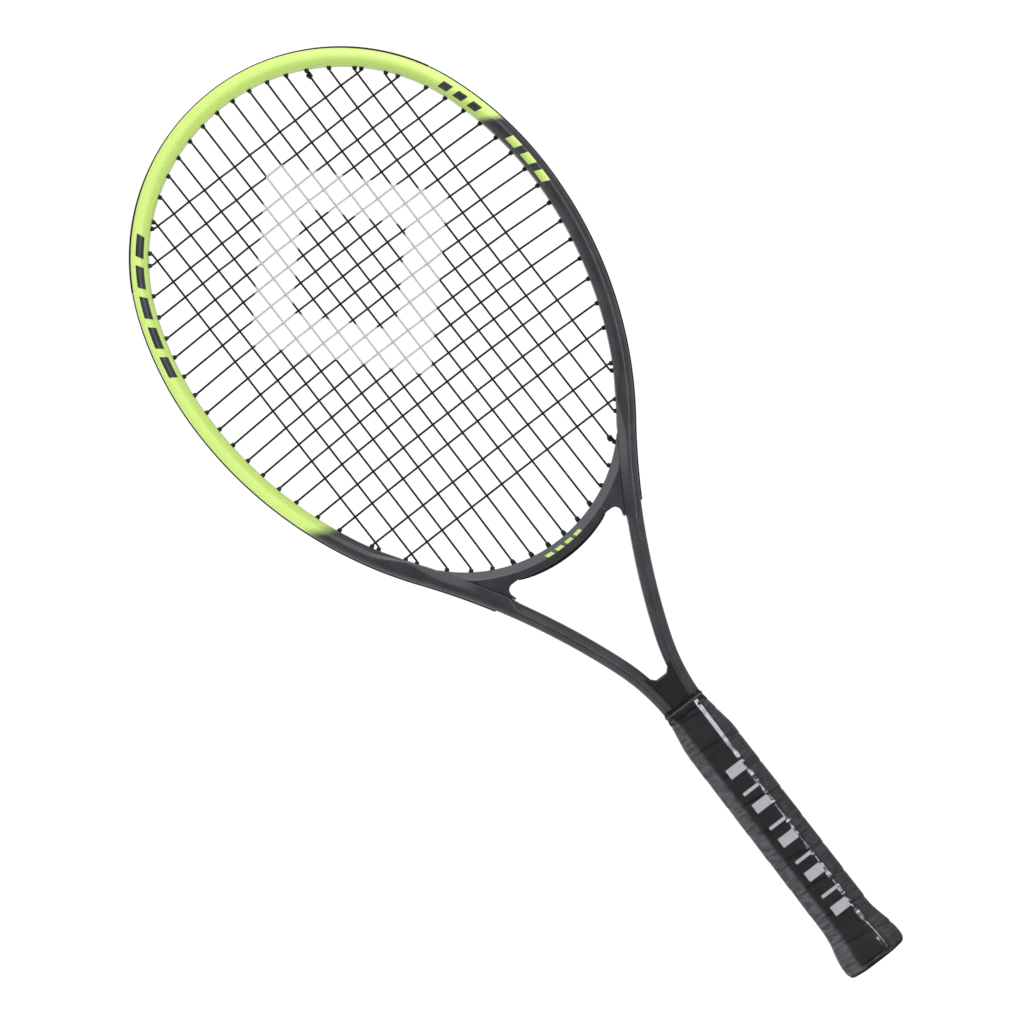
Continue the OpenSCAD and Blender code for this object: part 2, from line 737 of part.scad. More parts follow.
// Staple through the skirt, crown outside and two legs inside; grow leaves room for it
module staple(side, grow) {
    crown_y = 14.15;                          // outside of the crown
    crown = [8, 0.7, 1.2];
    leg = [1, 5.2, 1];
    z = skirt_z - 4.5;
    all = 2 * grow * [1, 1, 1];
    translate([0, side * (crown_y - crown[1] / 2), z])
    cube(crown + all, center = true);
    for (x = [-3.5, 3.5])
        translate([x, side * (crown_y - 0.3 - leg[1] / 2), z])
        cube(leg + all, center = true);
}

module butt_staple_front() {
    color([0.7, 0.7, 0.72])
    staple(-1, 0);
}

module butt_staple_back() {
    color([0.7, 0.7, 0.72])
    staple(1, 0);
}

tack_z = 6.6;
tack_x = 19.75;                               // underside of the tack's head
tack_pin = [0.6, 5];                          // radius and length of its pin
tack_head = [2, 0.7];                         // radius and thickness of its head

module tack(grow) {
    translate([tack_x - tack_pin[1], 0, tack_z])
    rotate([0, 90, 0]) {
        translate([0, 0, -grow])
        cylinder(r = tack_pin[0] + grow, h = tack_pin[1] + 0.2 + grow, $fn = 24);
        translate([0, 0, tack_pin[1] - grow])
        cylinder(r = tack_head[0] + grow, h = tack_head[1] + 2 * grow, $fn = 32);
    }
}

module grip_tack() {
    color([0.7, 0.7, 0.72])
    tack(0);
}

module butt_cap() {
    color([0.06, 0.06, 0.06])
    difference() {
        union() {
            grip_solid(0, wrap_z - gap, 0);
            grip_solid(wrap_z - 1, skirt_z, pallet_inset);
        }
        skin([socket_ring(pallet_low - gap, gap), socket_ring(skirt_z + 2, gap)]);
        translate([0, 0, -1])
        cylinder(r = door_hole_r, h = 6, $fn = fine);
        // seat that the door's rim rests on
        translate([0, 0, -1])
        cylinder(r = door_hole_r + door_seat, h = 2.2, $fn = fine);
        for (side = [-1, 1])
            staple(side, 0.08);
        tack(0.05);
    }
}

module butt_door() {
    clear = 0.1;                              // clearance in the opening
    tongue = [1.6, 6, 7];
    slot = [8, 1.6, 2];
    reach = 8.2;                              // tongues and slot from the centre
    color([0.09, 0.09, 0.09])
    difference() {
        union() {
            translate([0, 0, 0.15])
            cylinder(r = door_hole_r + door_seat - clear, h = 1, $fn = fine);
            translate([0, 0, 1])
            cylinder(r = door_hole_r - clear, h = 2, $fn = fine);
            // two snap tongues reach up behind the opening
            for (side = [-1, 1])
                translate([side * reach - tongue[0] / 2, -tongue[1] / 2, 2])
                cube(tongue);
        }
        // thumb slot to prise the door out
        translate([-slot[0] / 2, reach, -1])
        cube(slot);
    }
}

module grip_wrap() {
    color([0.2, 0.2, 0.21])
    difference() {
        grip_solid(wrap_z, 199.5, 0);
        skin([for (z = concat([wrap_z - 1], heights(wrap_z, 199.4), [200.5]))
            octagon(z, wrap_thickness)]);
        tack(0.1);
    }
}

module octagon_band(outer, inner) {
    difference() {
        skin(outer);
        skin(concat([[for (p = inner[0]) p - [0, 0, 1]]], inner,
                    [[for (p = inner[len(inner) - 1]) p + [0, 0, 1]]]));
    }
}

function band_ring(z, hx, hy, grow) =
    let (bevel = 2.2, x = hx + grow, y = hy + grow)
    let (fx = x - bevel - 0.6 * grow, fy = y - bevel - 0.6 * grow)
    [[fx, -y, z], [x, -fy, z], [x, fy, z], [fx, y, z],
     [-fx, y, z], [-x, fy, z], [-x, -fy, z], [-fx, -y, z]];

tape_x = neck_x + 0.15;
tape_y = half_depth + 0.15;
tape_t = 0.2;

function tape_rings(grow) = [
    band_ring(195.5, lookup(195.5, grip_half_x) + 0.1, lookup(195.5, grip_half_y) + 0.1, grow),
    band_ring(199.5, tape_x, tape_y, grow), band_ring(203.2, tape_x + 0.05, tape_y, grow)];

module finishing_tape() {
    color([0.05, 0.05, 0.05])
    octagon_band(tape_rings(tape_t), tape_rings(0));
}

module grip_collar() {
    clear = tape_t + 0.1;
    wall = 0.6;
    edges = [neck_z, neck_z + 2.3];
    color([0.16, 0.16, 0.17])
    octagon_band([for (z = edges) band_ring(z, tape_x, tape_y, clear + wall)],
                 [for (z = edges) band_ring(z, tape_x, tape_y, clear)]);
}

module grip_film() {
    low = 1.6;
    high = 195.4;
    outside = -0.25;
    color([0.8, 0.82, 0.85, 0.3])
    difference() {
        grip_solid(low, high, outside);
        skin([for (z = concat([low - 1], heights(low + 0.01, high - 0.1), [high + 1]))
            octagon(z, -gap)]);
    }
}

// ---------------------------------------------------------------------------------------------
// Nodes
// ---------------------------------------------------------------------------------------------

frame_tube();
throat_bridge();
neck_filler();
pallet_front();
pallet_back();
butt_cap();
butt_door();
butt_staple_front();
butt_staple_back();
grip_wrap();
grip_tack();
finishing_tape();
grip_collar();
grip_film();
bumper_guard();
grommet_strip_left();
grommet_strip_right();
grommet_strip_throat();
main_strings();
cross_strings();
knot_head();
knot_throat();
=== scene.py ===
"""Tennis racket: painted tube, grommet strips, woven strings and a wrapped grip round the CAD."""

import json
import math

import bpy
from mathutils import Matrix, Vector, noise

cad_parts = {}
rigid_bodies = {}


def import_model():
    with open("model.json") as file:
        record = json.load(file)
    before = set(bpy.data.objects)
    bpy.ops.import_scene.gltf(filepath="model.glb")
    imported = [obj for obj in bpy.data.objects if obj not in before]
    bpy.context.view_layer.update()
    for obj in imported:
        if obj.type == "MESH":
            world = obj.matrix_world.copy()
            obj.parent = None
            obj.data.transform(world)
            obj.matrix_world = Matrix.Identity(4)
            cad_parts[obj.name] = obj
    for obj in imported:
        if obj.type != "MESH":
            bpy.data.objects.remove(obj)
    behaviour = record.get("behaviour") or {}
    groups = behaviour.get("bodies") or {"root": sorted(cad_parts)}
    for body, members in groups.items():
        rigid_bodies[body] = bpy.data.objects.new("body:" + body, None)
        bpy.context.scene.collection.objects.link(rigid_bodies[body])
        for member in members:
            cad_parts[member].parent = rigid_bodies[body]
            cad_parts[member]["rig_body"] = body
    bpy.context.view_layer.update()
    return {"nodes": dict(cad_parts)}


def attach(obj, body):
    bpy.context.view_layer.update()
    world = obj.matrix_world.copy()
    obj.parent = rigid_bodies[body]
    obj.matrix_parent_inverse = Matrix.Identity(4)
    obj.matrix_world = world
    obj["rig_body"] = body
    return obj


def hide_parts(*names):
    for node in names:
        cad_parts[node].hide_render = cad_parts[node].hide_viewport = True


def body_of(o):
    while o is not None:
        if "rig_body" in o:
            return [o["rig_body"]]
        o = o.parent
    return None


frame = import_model()
scene = bpy.context.scene

MM = 0.001
ROOT = "racket"

# ------ Sizes in millimetres, the same as the CAD's ------
LENGTH = 685.8
DEPTH = 23.0
HOOP_W = 10.8
SHAFT_W = 9.9
TIP_R, TIP_ANGLE = 131.7, 69.4
SHOULDER_R, SHOULDER_ANGLE = 220.0, 19.9
SIDE_R, SIDE_ANGLE = 270.5, 37.0
THROAT_R, THROAT_ANGLE = 468.0, 16.6
NECK_R = 134.0
STRIP_T = 1.0
STRIP_THROAT_ANGLE = 6.2
BUMPER_ANGLE = 62.0
GROOVE_HALF, GROOVE_DEPTH = 3.0, 2.6
BRIDGE_Z, BRIDGE_T = 330.1, 10.1
NECK_Z = 199.7
STRING_R = 0.65
MAIN_PITCH, MAIN_SPREAD = 11.7, 4.3
MAINS, BRIDGE_MAINS, THROAT_MAINS = 8, 6, 3     # of each half: all, to the bridge, to its middle
CROSS_START = 379.7
CROSS_GAPS = (19.7, 20.9, 15.3, 16.0, 13.8, 13.4, 13.1, 13.5, 12.8, 12.8, 12.8, 12.8, 12.6,
              12.1, 12.8, 12.2, 16.0, 17.2)
HOLE_LEAN, LEG_HOLE_LEAN = 0.25, 0.45
MAIN_FLARE, MAIN_LOW_FLARE = 1.2, 1.0
CROSS_SAG, SAG_CENTRE, SAG_SPREAD = 3.7, 503.0, 80.0
BARREL_OUT = 2.2
LOOP_DEPTH = 1.0
BYPASS = 2 * STRING_R + 0.15

# Grip profile: height, half width, half depth, half width of the front flat
GRIP = ((0.0, 20.2, 18.2, 10.9), (1.5, 21.2, 19.2, 11.0), (8.5, 21.6, 19.6, 11.2),
        (15.0, 20.6, 18.6, 10.6), (23.0, 18.6, 16.6, 9.9), (31.0, 17.3, 15.3, 9.1),
        (174.0, 17.3, 15.3, 9.1), (187.0, 15.3, 13.6, 9.15), (199.5, 13.4, 11.6, 9.2))


# ------ Outline of the tube's outer face ------
def polar(r, degrees):
    a = math.radians(degrees)
    return Vector((r * math.cos(a), r * math.sin(a)))


A_SHOULDER = 90 - TIP_ANGLE
A_SIDE = A_SHOULDER - SHOULDER_ANGLE
A_THROAT = A_SIDE - SIDE_ANGLE + 180
A_NECK = A_THROAT + THROAT_ANGLE
C_TIP = Vector((0, LENGTH - STRIP_T - TIP_R))
C_SHOULDER = C_TIP + polar(TIP_R - SHOULDER_R, A_SHOULDER)
C_SIDE = C_SHOULDER + polar(SHOULDER_R - SIDE_R, A_SIDE)
C_THROAT = C_SIDE - polar(SIDE_R + THROAT_R, A_THROAT)
C_NECK = C_THROAT + polar(THROAT_R - NECK_R, A_NECK)
NECK_X = C_NECK.x - NECK_R
A_END = 180 - math.degrees(math.asin((NECK_Z - C_NECK.y) / NECK_R))

INNER_SIDE = SIDE_R - HOOP_W
RISE = C_SIDE.y - BRIDGE_Z
BRIDGE_R = (INNER_SIDE**2 - C_SIDE.x**2 - RISE**2) / (2 * (INNER_SIDE - RISE))
C_BRIDGE = Vector((0, BRIDGE_Z + BRIDGE_R))

# Bends down the right side from the tip: centre, radius, first angle, last angle, outward sign
BENDS = ((C_TIP, TIP_R, 90.0, A_SHOULDER, 1), (C_SHOULDER, SHOULDER_R, A_SHOULDER, A_SIDE, 1),
         (C_SIDE, SIDE_R, A_SIDE, A_THROAT - 180, 1), (C_THROAT, THROAT_R, A_THROAT, A_NECK, -1),
         (C_NECK, NECK_R, A_NECK, A_END, -1))
SPANS = [math.radians(abs(last - first)) * r for _, r, first, last, _ in BENDS]
HALF_LENGTH = sum(SPANS)
STRIP_END = sum(SPANS[:3]) + math.radians(STRIP_THROAT_ANGLE) * THROAT_R
BUMPER_END = math.radians(BUMPER_ANGLE) * TIP_R


def outline(along):
    """Point and outward normal on the outer face, along mm from the tip (+ right, - left)."""
    side = 1 if along >= 0 else -1
    rest = abs(along)
    for (centre, radius, first, _, sign), span in zip(BENDS, SPANS):
        if rest <= span or centre is C_NECK:
            turn = math.degrees(rest / radius)
            out = polar(1, first - sign * turn)
            p = centre + out * radius
            return Vector((side * p.x, p.y)), Vector((side * sign * out.x, sign * out.y))
        rest -= span


def along_at(z, side):
    """Distance from the tip at which the outer face is z high."""
    low, high = 0.0, HALF_LENGTH
    for _ in range(40):
        mid = (low + high) / 2
        if outline(mid)[0].y > z:
            low = mid
        else:
            high = mid
    return side * low


# ------ String ends, as in the CAD ------
# Barrel mouth, direction outwards, length to the string channel
def main_x(i):
    return MAIN_PITCH * (i + 0.5) + MAIN_SPREAD * (i / (MAINS - 1)) ** 5


def main_top_x(i):
    return main_x(i) + MAIN_FLARE * math.sin(math.radians(1.8 * main_x(i)))


def main_low_x(i):
    return main_x(i) + MAIN_LOW_FLARE * math.sin(math.radians(2.6 * main_x(i)))


CROSS_Z = [CROSS_START + sum(CROSS_GAPS[:k]) for k in range(len(CROSS_GAPS) + 1)]
CROSSES = len(CROSS_Z)


def sag(k):
    """Distance the ends of cross k hang below its middle."""
    return CROSS_SAG * math.exp(-((CROSS_Z[k] - SAG_CENTRE) / SAG_SPREAD) ** 2)


def crossings(p, d, centre, r):
    """Distances from p along d at which it enters and leaves a circle."""
    b = d.dot(p - centre)
    half = math.sqrt(b * b - (p - centre).length_squared + r * r)
    return -b - half, half - b


def drilled(m, centre, lean, r):
    """String end that leaves a mouth away from a bend's centre, leaned, as far as radius r."""
    d = ((m - centre).normalized() + Vector(lean)).normalized()
    return m, d, crossings(m, d, centre, r)[1]


def top_end(i):
    x, r = main_top_x(i), TIP_R - HOOP_W - BARREL_OUT
    m = Vector((x, C_TIP.y + math.sqrt(r * r - x * x)))
    return drilled(m, C_TIP, (0, HOLE_LEAN), TIP_R - LOOP_DEPTH)


def bottom_end(i):
    x = main_low_x(i)
    if i >= BRIDGE_MAINS:
        r = INNER_SIDE - BARREL_OUT
        m = Vector((x, C_SIDE.y - math.sqrt(r * r - (x - C_SIDE.x) ** 2)))
        return drilled(m, C_SIDE, (0, -HOLE_LEAN), SIDE_R - LOOP_DEPTH)
    r = BRIDGE_R - BARREL_OUT
    m = Vector((x, C_BRIDGE.y - math.sqrt(r * r - x * x)))
    if i >= THROAT_MAINS:
        d = ((C_THROAT - m).normalized() - Vector((0, LEG_HOLE_LEAN))).normalized()
        return m, d, crossings(m, d, C_THROAT, THROAT_R + LOOP_DEPTH)[0]
    d = Vector((0, -1))
    return m, d, crossings(m, d, C_BRIDGE, BRIDGE_R + BRIDGE_T - LOOP_DEPTH)[1]


def side_end(k):
    z = CROSS_Z[k] - sag(k)
    if z > C_TIP.y + (TIP_R - HOOP_W) * math.sin(math.radians(A_SHOULDER)):
        c, r = C_TIP, TIP_R
    elif z > C_SHOULDER.y + (SHOULDER_R - HOOP_W) * math.sin(math.radians(A_SIDE)):
        c, r = C_SHOULDER, SHOULDER_R
    else:
        c, r = C_SIDE, SIDE_R
    inner = r - HOOP_W - BARREL_OUT
    m = Vector((c.x + math.sqrt(inner**2 - (z - c.y) ** 2), z))
    return drilled(m, c, (HOLE_LEAN, 0), r - LOOP_DEPTH)


# ------ Mesh helpers ------
Y_AXIS = Vector((0, 1, 0))
LONGEST_CURVE = 0.45                    # most that the rounding of a corner takes of a side
NEARLY_STRAIGHT = math.radians(177)     # corners of a path that stay as they are


def cad_object(node):
    return frame["nodes"][node]


def smoothstep(a, b, x):
    t = min(max((x - a) / (b - a), 0.0), 1.0)
    return t * t * (3 - 2 * t)


def mix(a, b, t):
    return a + (b - a) * t


def new_piece(name, verts, faces, material, node, body=ROOT, smooth=True):
    """Mesh object from points in millimetres that stands for a CAD node and rides on a body."""
    mesh = bpy.data.meshes.new(name)
    mesh.from_pydata([(v[0] * MM, v[1] * MM, v[2] * MM) for v in verts], [], faces)
    mesh.validate()
    mesh.polygons.foreach_set("use_smooth", [smooth] * len(mesh.polygons))
    mesh.update()
    obj = bpy.data.objects.new(name, mesh)
    scene.collection.objects.link(obj)
    mesh.materials.append(material)
    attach(obj, body)
    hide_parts(node)
    return obj


def skin(rings, verts, faces, caps=True, closed=False):
    """Adds a tube skinned over rings of points to verts and faces."""
    base = len(verts)
    n = len(rings[0])
    for ring in rings:
        verts.extend(ring)
    count = len(rings)
    for j in range(count if closed else count - 1):
        a, b = base + j * n, base + ((j + 1) % count) * n
        for i in range(n):
            k = (i + 1) % n
            faces.append((a + i, a + k, b + k, b + i))
    if caps and not closed:
        faces.append(tuple(base + i for i in reversed(range(n))))
        faces.append(tuple(base + (count - 1) * n + i for i in range(n)))


def curve_start(corner, neighbour, radius):
    """Point on the side towards a neighbour where the rounding of a corner starts."""
    side = neighbour - corner
    return corner + side.normalized() * min(radius, side.length * LONGEST_CURVE)


def curve(a, corner, b, steps):
    """Points on the curve from a to b that rounds off a corner."""
    parts = [s / steps for s in range(steps + 1)]
    return [a * (1 - t) ** 2 + corner * 2 * t * (1 - t) + b * t * t for t in parts]


def rounded(corners, radius, steps, side_steps=1):
    """Closed loop through corners, each one replaced by a small curve."""
    corners = [Vector(corner) for corner in corners]
    points = []
    for i, corner in enumerate(corners):
        following = corners[(i + 1) % len(corners)]
        a = curve_start(corner, corners[i - 1], radius)
        b = curve_start(corner, following, radius)
        stop = curve_start(following, corner, radius)
        points += curve(a, corner, b, steps)[:-1]
        points += [b.lerp(stop, s / side_steps) for s in range(side_steps)]
    return points


def mirrored(half):
    return list(half) + [(s, -y) for s, y in reversed(half)]


def swept_ring(along, section):
    """Section points (inward, y) set square to the outline."""
    p, n = outline(along)
    return [(p.x - n.x * s, y, p.y - n.y * s) for s, y in section]


def spaced(start, end, step):
    count = max(2, round(abs(end - start) / step))
    return [start + (end - start) * i / count for i in range(count + 1)]


def round_path(path, radius, steps=3):
    """Polyline with its corners rounded."""
    out = [path[0]]
    for a, c, b in zip(path, path[1:], path[2:]):
        u, v = a - c, b - c
        if u.length < 1e-6 or v.length < 1e-6:
            continue
        if u.angle(v) > NEARLY_STRAIGHT:
            out.append(c)
            continue
        out += curve(curve_start(c, a, radius), c, curve_start(c, b, radius), steps)
    out.append(path[-1])
    return out


def disc(centre, u, v, r, sides):
    """Points on a circle round a centre, in the plane of u and v."""
    turns = [2 * math.pi * i / sides for i in range(sides)]
    return [centre + u * (r * math.cos(a)) + v * (r * math.sin(a)) for a in turns]


def rod(path, r, sides):
    """Points and faces of a round rod along a path."""
    rings = []
    last = len(path) - 1
    for j, p in enumerate(path):
        t = (path[min(j + 1, last)] - path[max(j - 1, 0)]).normalized()
        u = Y_AXIS.cross(t).normalized()
        rings.append(disc(p, u, t.cross(u), r, sides))
    verts, faces = [], []
    skin(rings, verts, faces)
    return verts, faces


# ------ Material helpers ------
class Nodes:
    """Small builder for a node tree; positions come out in millimetres."""

    def __init__(self, owner, output):
        owner.use_nodes = True
        self.owner = owner
        self.tree = owner.node_tree
        self.tree.nodes.clear()
        self.output = self.new(output)

    def new(self, kind, **settings):
        """Adds a node and sets its properties."""
        node = self.tree.nodes.new("ShaderNode" + kind)
        for name, value in settings.items():
            setattr(node, name, value)
        return node

    def link(self, value, socket):
        if isinstance(value, bpy.types.NodeSocket):
            self.tree.links.new(value, socket)
        else:
            socket.default_value = value

    def feed(self, node, *values):
        """Gives a node its first inputs, in order, and returns its first output."""
        for value, socket in zip(values, node.inputs):
            self.link(value, socket)
        return node.outputs[0]

    def math(self, operation, a, b=0.0):
        return self.feed(self.new("Math", operation=operation), a, b)

    def total(self, first, *rest):
        for value in rest:
            first = self.math("ADD", first, value)
        return first

    def product(self, first, *rest):
        for value in rest:
            first = self.math("MULTIPLY", first, value)
        return first

    def minus(self, a, b):
        return self.math("SUBTRACT", a, b)

    def greatest(self, a, b):
        return self.math("MAXIMUM", a, b)

    def repeated(self, value, period):
        """How far into its period a value is, from 0 to 1."""
        return self.math("FRACT", self.math("DIVIDE", value, period))

    def ramp(self, value, low, high, start=0.0, end=1.0):
        """start at low and end at high, with soft ends."""
        node = self.new("MapRange", interpolation_type="SMOOTHSTEP")
        return self.feed(node, value, low, high, start, end)

    def band(self, value, low, high, edge):
        """1 between low and high, 0 outside."""
        inside = self.ramp(value, low - edge, low + edge)
        return self.minus(inside, self.ramp(value, high - edge, high + edge))

    def dot(self, a, b):
        node = self.new("VectorMath", operation="DOT_PRODUCT")
        self.feed(node, a, b)
        return node.outputs["Value"]

    def position(self):
        node = self.new("VectorMath", operation="SCALE")
        self.link(1 / MM, node.inputs["Scale"])
        return self.feed(node, self.new("TexCoord").outputs["Object"])

    def xyz(self):
        node = self.new("SeparateXYZ")
        self.feed(node, self.position())
        return node.outputs

    def attribute(self, name):
        return self.new("Attribute", attribute_name=name).outputs["Fac"]

    def noise(self, scale, detail=3.0, roughness=0.5, vector=None):
        """Noise whose features are about 1/scale millimetres across."""
        node = self.new("TexNoise")
        self.link(vector or self.position(), node.inputs["Vector"])
        self.link(scale, node.inputs["Scale"])
        self.link(detail, node.inputs["Detail"])
        self.link(roughness, node.inputs["Roughness"])
        return node.outputs["Fac"]

    def varied(self, base, spread, scale):
        """base and up to spread more, varied by noise."""
        return self.total(base, self.product(self.noise(scale), spread))

    def cells(self, scale):
        node = self.new("TexVoronoi")
        self.link(self.position(), node.inputs["Vector"])
        self.link(scale, node.inputs["Scale"])
        return node.outputs["Distance"]

    def colour(self, factor, a, b):
        node = self.new("Mix", data_type="RGBA")
        self.link(factor, node.inputs["Factor"])
        for value, socket in ((a, node.inputs["A"]), (b, node.inputs["B"])):
            self.link(value if isinstance(value, bpy.types.NodeSocket) else (*value, 1.0), socket)
        return node.outputs["Result"]

    def bump(self, height, strength, distance_mm):
        node = self.new("Bump")
        self.link(strength, node.inputs["Strength"])
        self.link(distance_mm * MM, node.inputs["Distance"])
        self.link(height, node.inputs["Height"])
        return node.outputs[0]

    def edge_wear(self):
        """1 on convex edges."""
        return self.ramp(self.new("NewGeometry").outputs["Pointiness"], 0.52, 0.58)

    def surface(self, colour, roughness, normal=None, coat=0.0, specular=0.5, coat_rough=0.1,
                metallic=0.0):
        node = self.new("BsdfPrincipled")
        for value, name in ((colour, "Base Color"), (roughness, "Roughness"),
                            (metallic, "Metallic"), (specular, "Specular IOR Level"),
                            (coat, "Coat Weight"), (coat_rough, "Coat Roughness")):
            self.link(value, node.inputs[name])
        if normal is not None:
            self.link(normal, node.inputs["Normal"])
        return node.outputs[0]

    def mix_shaders(self, factor, a, b):
        return self.feed(self.new("MixShader"), factor, a, b)

    def finish(self, shader):
        self.link(shader, self.output.inputs["Surface"])
        return self.owner


def new_material(name):
    return Nodes(bpy.data.materials.new(name), "OutputMaterial")


# LIME_PAINTED_SHADE is painted shade for the lime on the hoop's inner bevel
LIME, LIME_PAINTED_SHADE, LIME_DASH = (0.70, 0.94, 0.23), (0.50, 0.70, 0.15), (0.60, 0.85, 0.22)
CHARCOAL, CHARCOAL_LIGHT = (0.029, 0.028, 0.036), (0.043, 0.042, 0.052)
BRIDGE_DARK, BRIDGE_LIGHT = (0.025, 0.025, 0.032), (0.036, 0.036, 0.044)
# Painted light: the pale tone of the bridge's upper bevel where it faces the light, also carried
# up the hoop's inner corner
BRIDGE_PAINTED_LIGHT = (0.105, 0.103, 0.120)
SILVER_FLECK = (0.75, 0.75, 0.76)
BLACK, WORN_BLACK = (0.006, 0.006, 0.007), (0.10, 0.10, 0.105)

# Heights at which the lime ends on the left and right of the hoop
LIME_LEFT_Z, LIME_RIGHT_Z = 424, 566
# Slanted bars: height and side of the first, how many, their spacing, the painted share of it
DARK_BARS = ((558, -1, 5, 20.4, 0.72), (604, 1, 3, 11.4, 0.62))
LIME_BARS = (550, 1, 3, 14.2, 0.6)
# The dashes on the bridge: half the length of their row, their spacing, the painted share of it
DASH_ROW, DASH_PITCH, DASH_SHARE = 13.7, 7.4, 0.66

# Pale diamond on the strings: centre height, half width and half height, share left open
DIAMOND_Z, DIAMOND_HALF, DIAMOND_HOLE = 545.0, (78.0, 84.0), 0.58
# Blocks printed on the film: first and last height, spacing
PRINT_START, PRINT_STOP, PRINT_PITCH = 38.4, 156.0, 26.8
# Edge of the front flat along which the film is drawn tight, and the heights between which the
# patches join into one fold
FOLD_FROM, FOLD_TO, FOLD_SLOPE = 5.6, 10.4, 0.18
FOLD_WHOLE = (163, 172)


def painted_light_leaf(m, along, inward):
    """Painted light: the bridge's pale lit bevel tone, carried up the inside of the hoop to a soft
    point.
    """
    reach = m.math("ABSOLUTE", along)
    width = m.product(m.ramp(reach, along_at(378, 1), along_at(350, 1)), 5.5)
    leaf = m.ramp(m.total(inward, width), HOOP_W - 0.4, HOOP_W + 1.6)
    fade = m.minus(1.0, m.ramp(reach, along_at(346, 1), along_at(326, 1)))
    return m.product(leaf, fade, 0.7)


def tube_paint():
    """Lime over the head and charcoal elsewhere, with soft fades and plain slanted bars, painted
    shade on the lime's inner bevel and painted light up the inner corner above the bridge.
    """
    m = new_material("frame_paint")
    along, inward = m.attribute("along"), m.attribute("inward")
    left, right = along_at(LIME_LEFT_Z, -1), along_at(LIME_RIGHT_Z, 1)
    reach = m.total(along, m.product(m.minus(m.noise(0.9, 4), 0.5), 3.0))
    tilt = m.product(m.minus(inward, 5.0), 0.9)
    above_left = m.ramp(m.total(reach, m.product(tilt, 1.3)), left - 7, left + 7)
    below_right = m.ramp(m.total(reach, tilt), right - 4, right + 3)
    lime_mask = m.product(above_left, m.minus(1.0, below_right))
    slanted = m.total(along, m.product(m.minus(inward, 6.2), 0.45))
    strip = m.band(inward, 3.6, 8.6, 0.12)

    def bars(z, side, count, pitch, share):
        """Whole bars, clockwise round the hoop from a height on one side."""
        start = along_at(z, side)
        phase = m.repeated(m.minus(slanted, start), pitch)
        bar = m.minus(m.ramp(phase, 0.0, 0.02), m.ramp(phase, share, share + 0.02))
        stop = start + (count - 0.5 * (1 - share)) * pitch
        return m.product(bar, strip, m.band(slanted, start - 0.3, stop, 0.1))

    dark = m.total(*(bars(*row) for row in DARK_BARS))
    lime_left_over = m.greatest(m.minus(lime_mask, dark), 0.0)
    mask = m.greatest(lime_left_over, bars(*LIME_BARS))

    # painted shade: the lime darkens towards the inside of the hoop, where the inner bevel faces
    # away from the light
    lime = m.colour(m.ramp(inward, 3.6, 9.0), LIME, LIME_PAINTED_SHADE)
    charcoal = m.colour(m.ramp(m.noise(0.06, 2), 0.35, 0.7), CHARCOAL, CHARCOAL_LIGHT)
    # painted light: the bridge's lit bevel tone carried up the hoop's inner corner to a soft point
    charcoal = m.colour(painted_light_leaf(m, along, inward), charcoal, BRIDGE_PAINTED_LIGHT)
    colour = m.colour(mask, charcoal, lime)
    fleck = m.product(m.ramp(m.noise(3.0, 2), 0.55, 0.75), 0.015)
    colour = m.colour(fleck, colour, SILVER_FLECK)
    return m.finish(m.surface(colour, m.varied(0.36, 0.12, 0.35), m.bump(m.noise(1.6), 0.03, 0.1),
                              coat=0.5, coat_rough=0.13))


def bridge_paint():
    """Charcoal, a little lighter than the tube, with a row of small lime dashes and a band of
    painted light along the upper bevel.
    """
    m = new_material("bridge_paint")
    x, y, z = m.xyz()
    dz = m.minus(z, C_BRIDGE.y)
    reach = m.math("SQRT", m.total(m.product(x, x), m.product(dz, dz)))
    lean = m.total(x, m.product(m.minus(reach, BRIDGE_R), -0.5))
    phase = m.repeated(m.total(lean, DASH_ROW), DASH_PITCH)
    dash = m.minus(m.ramp(phase, 0.0, 0.04), m.ramp(phase, DASH_SHARE, DASH_SHARE + 0.04))
    row = m.band(reach, BRIDGE_R + 3.0, BRIDGE_R + 5.2, 0.1)
    ends = m.band(lean, -DASH_ROW - 0.5, DASH_ROW + 0.5, 0.1)
    mask = m.product(dash, row, ends, m.ramp(y, -4.0, -4.5))
    charcoal = m.colour(m.ramp(m.noise(0.08, 2), 0.35, 0.7), BRIDGE_DARK, BRIDGE_LIGHT)
    # painted light: the upper bevel of the arch is paler, as if lit from above
    bevel = m.minus(1.0, m.ramp(reach, BRIDGE_R + 4.6, BRIDGE_R + 5.8))
    charcoal = m.colour(bevel, charcoal, BRIDGE_PAINTED_LIGHT)
    colour = m.colour(mask, charcoal, LIME_DASH)
    return m.finish(m.surface(colour, m.varied(0.38, 0.12, 0.4), m.bump(m.noise(1.6), 0.03, 0.1),
                              coat=0.2, coat_rough=0.25))


def moulded_black(name, colour=BLACK, rough=0.42):
    """Moulded nylon with a fine grain and paler worn edges."""
    m = new_material(name)
    worn = m.product(m.edge_wear(), m.ramp(m.noise(0.5), 0.45, 0.7))
    tone = m.colour(worn, colour, WORN_BLACK)
    grain = m.bump(m.noise(3.0, 4), 0.15, 0.1)
    return m.finish(m.surface(tone, m.varied(rough, 0.15, 0.7), grain, specular=0.3))


def string_finish():
    """Glossy black monofilament with a plain pale diamond stencilled across the bed."""
    m = new_material("string")
    x, _, z = m.xyz()
    wide = m.math("DIVIDE", m.math("ABSOLUTE", x), DIAMOND_HALF[0])
    tall = m.math("DIVIDE", m.math("ABSOLUTE", m.minus(z, DIAMOND_Z)), DIAMOND_HALF[1])
    ragged = m.product(m.minus(m.noise(0.8, 2), 0.5), 0.02)
    mask = m.band(m.total(wide, tall, ragged), DIAMOND_HOLE, 1.0, 0.006)
    paint = m.colour(m.noise(0.3), (0.46, 0.46, 0.47), (0.60, 0.60, 0.61))
    black = m.colour(m.noise(0.15, 2), (0.004, 0.004, 0.005), (0.012, 0.012, 0.013))
    rough = m.total(0.28, m.product(mask, 0.35))
    grain = m.bump(m.noise(4.0, 2), 0.08, 0.05)
    return m.finish(m.surface(m.colour(mask, black, paint), rough, grain, specular=0.35))


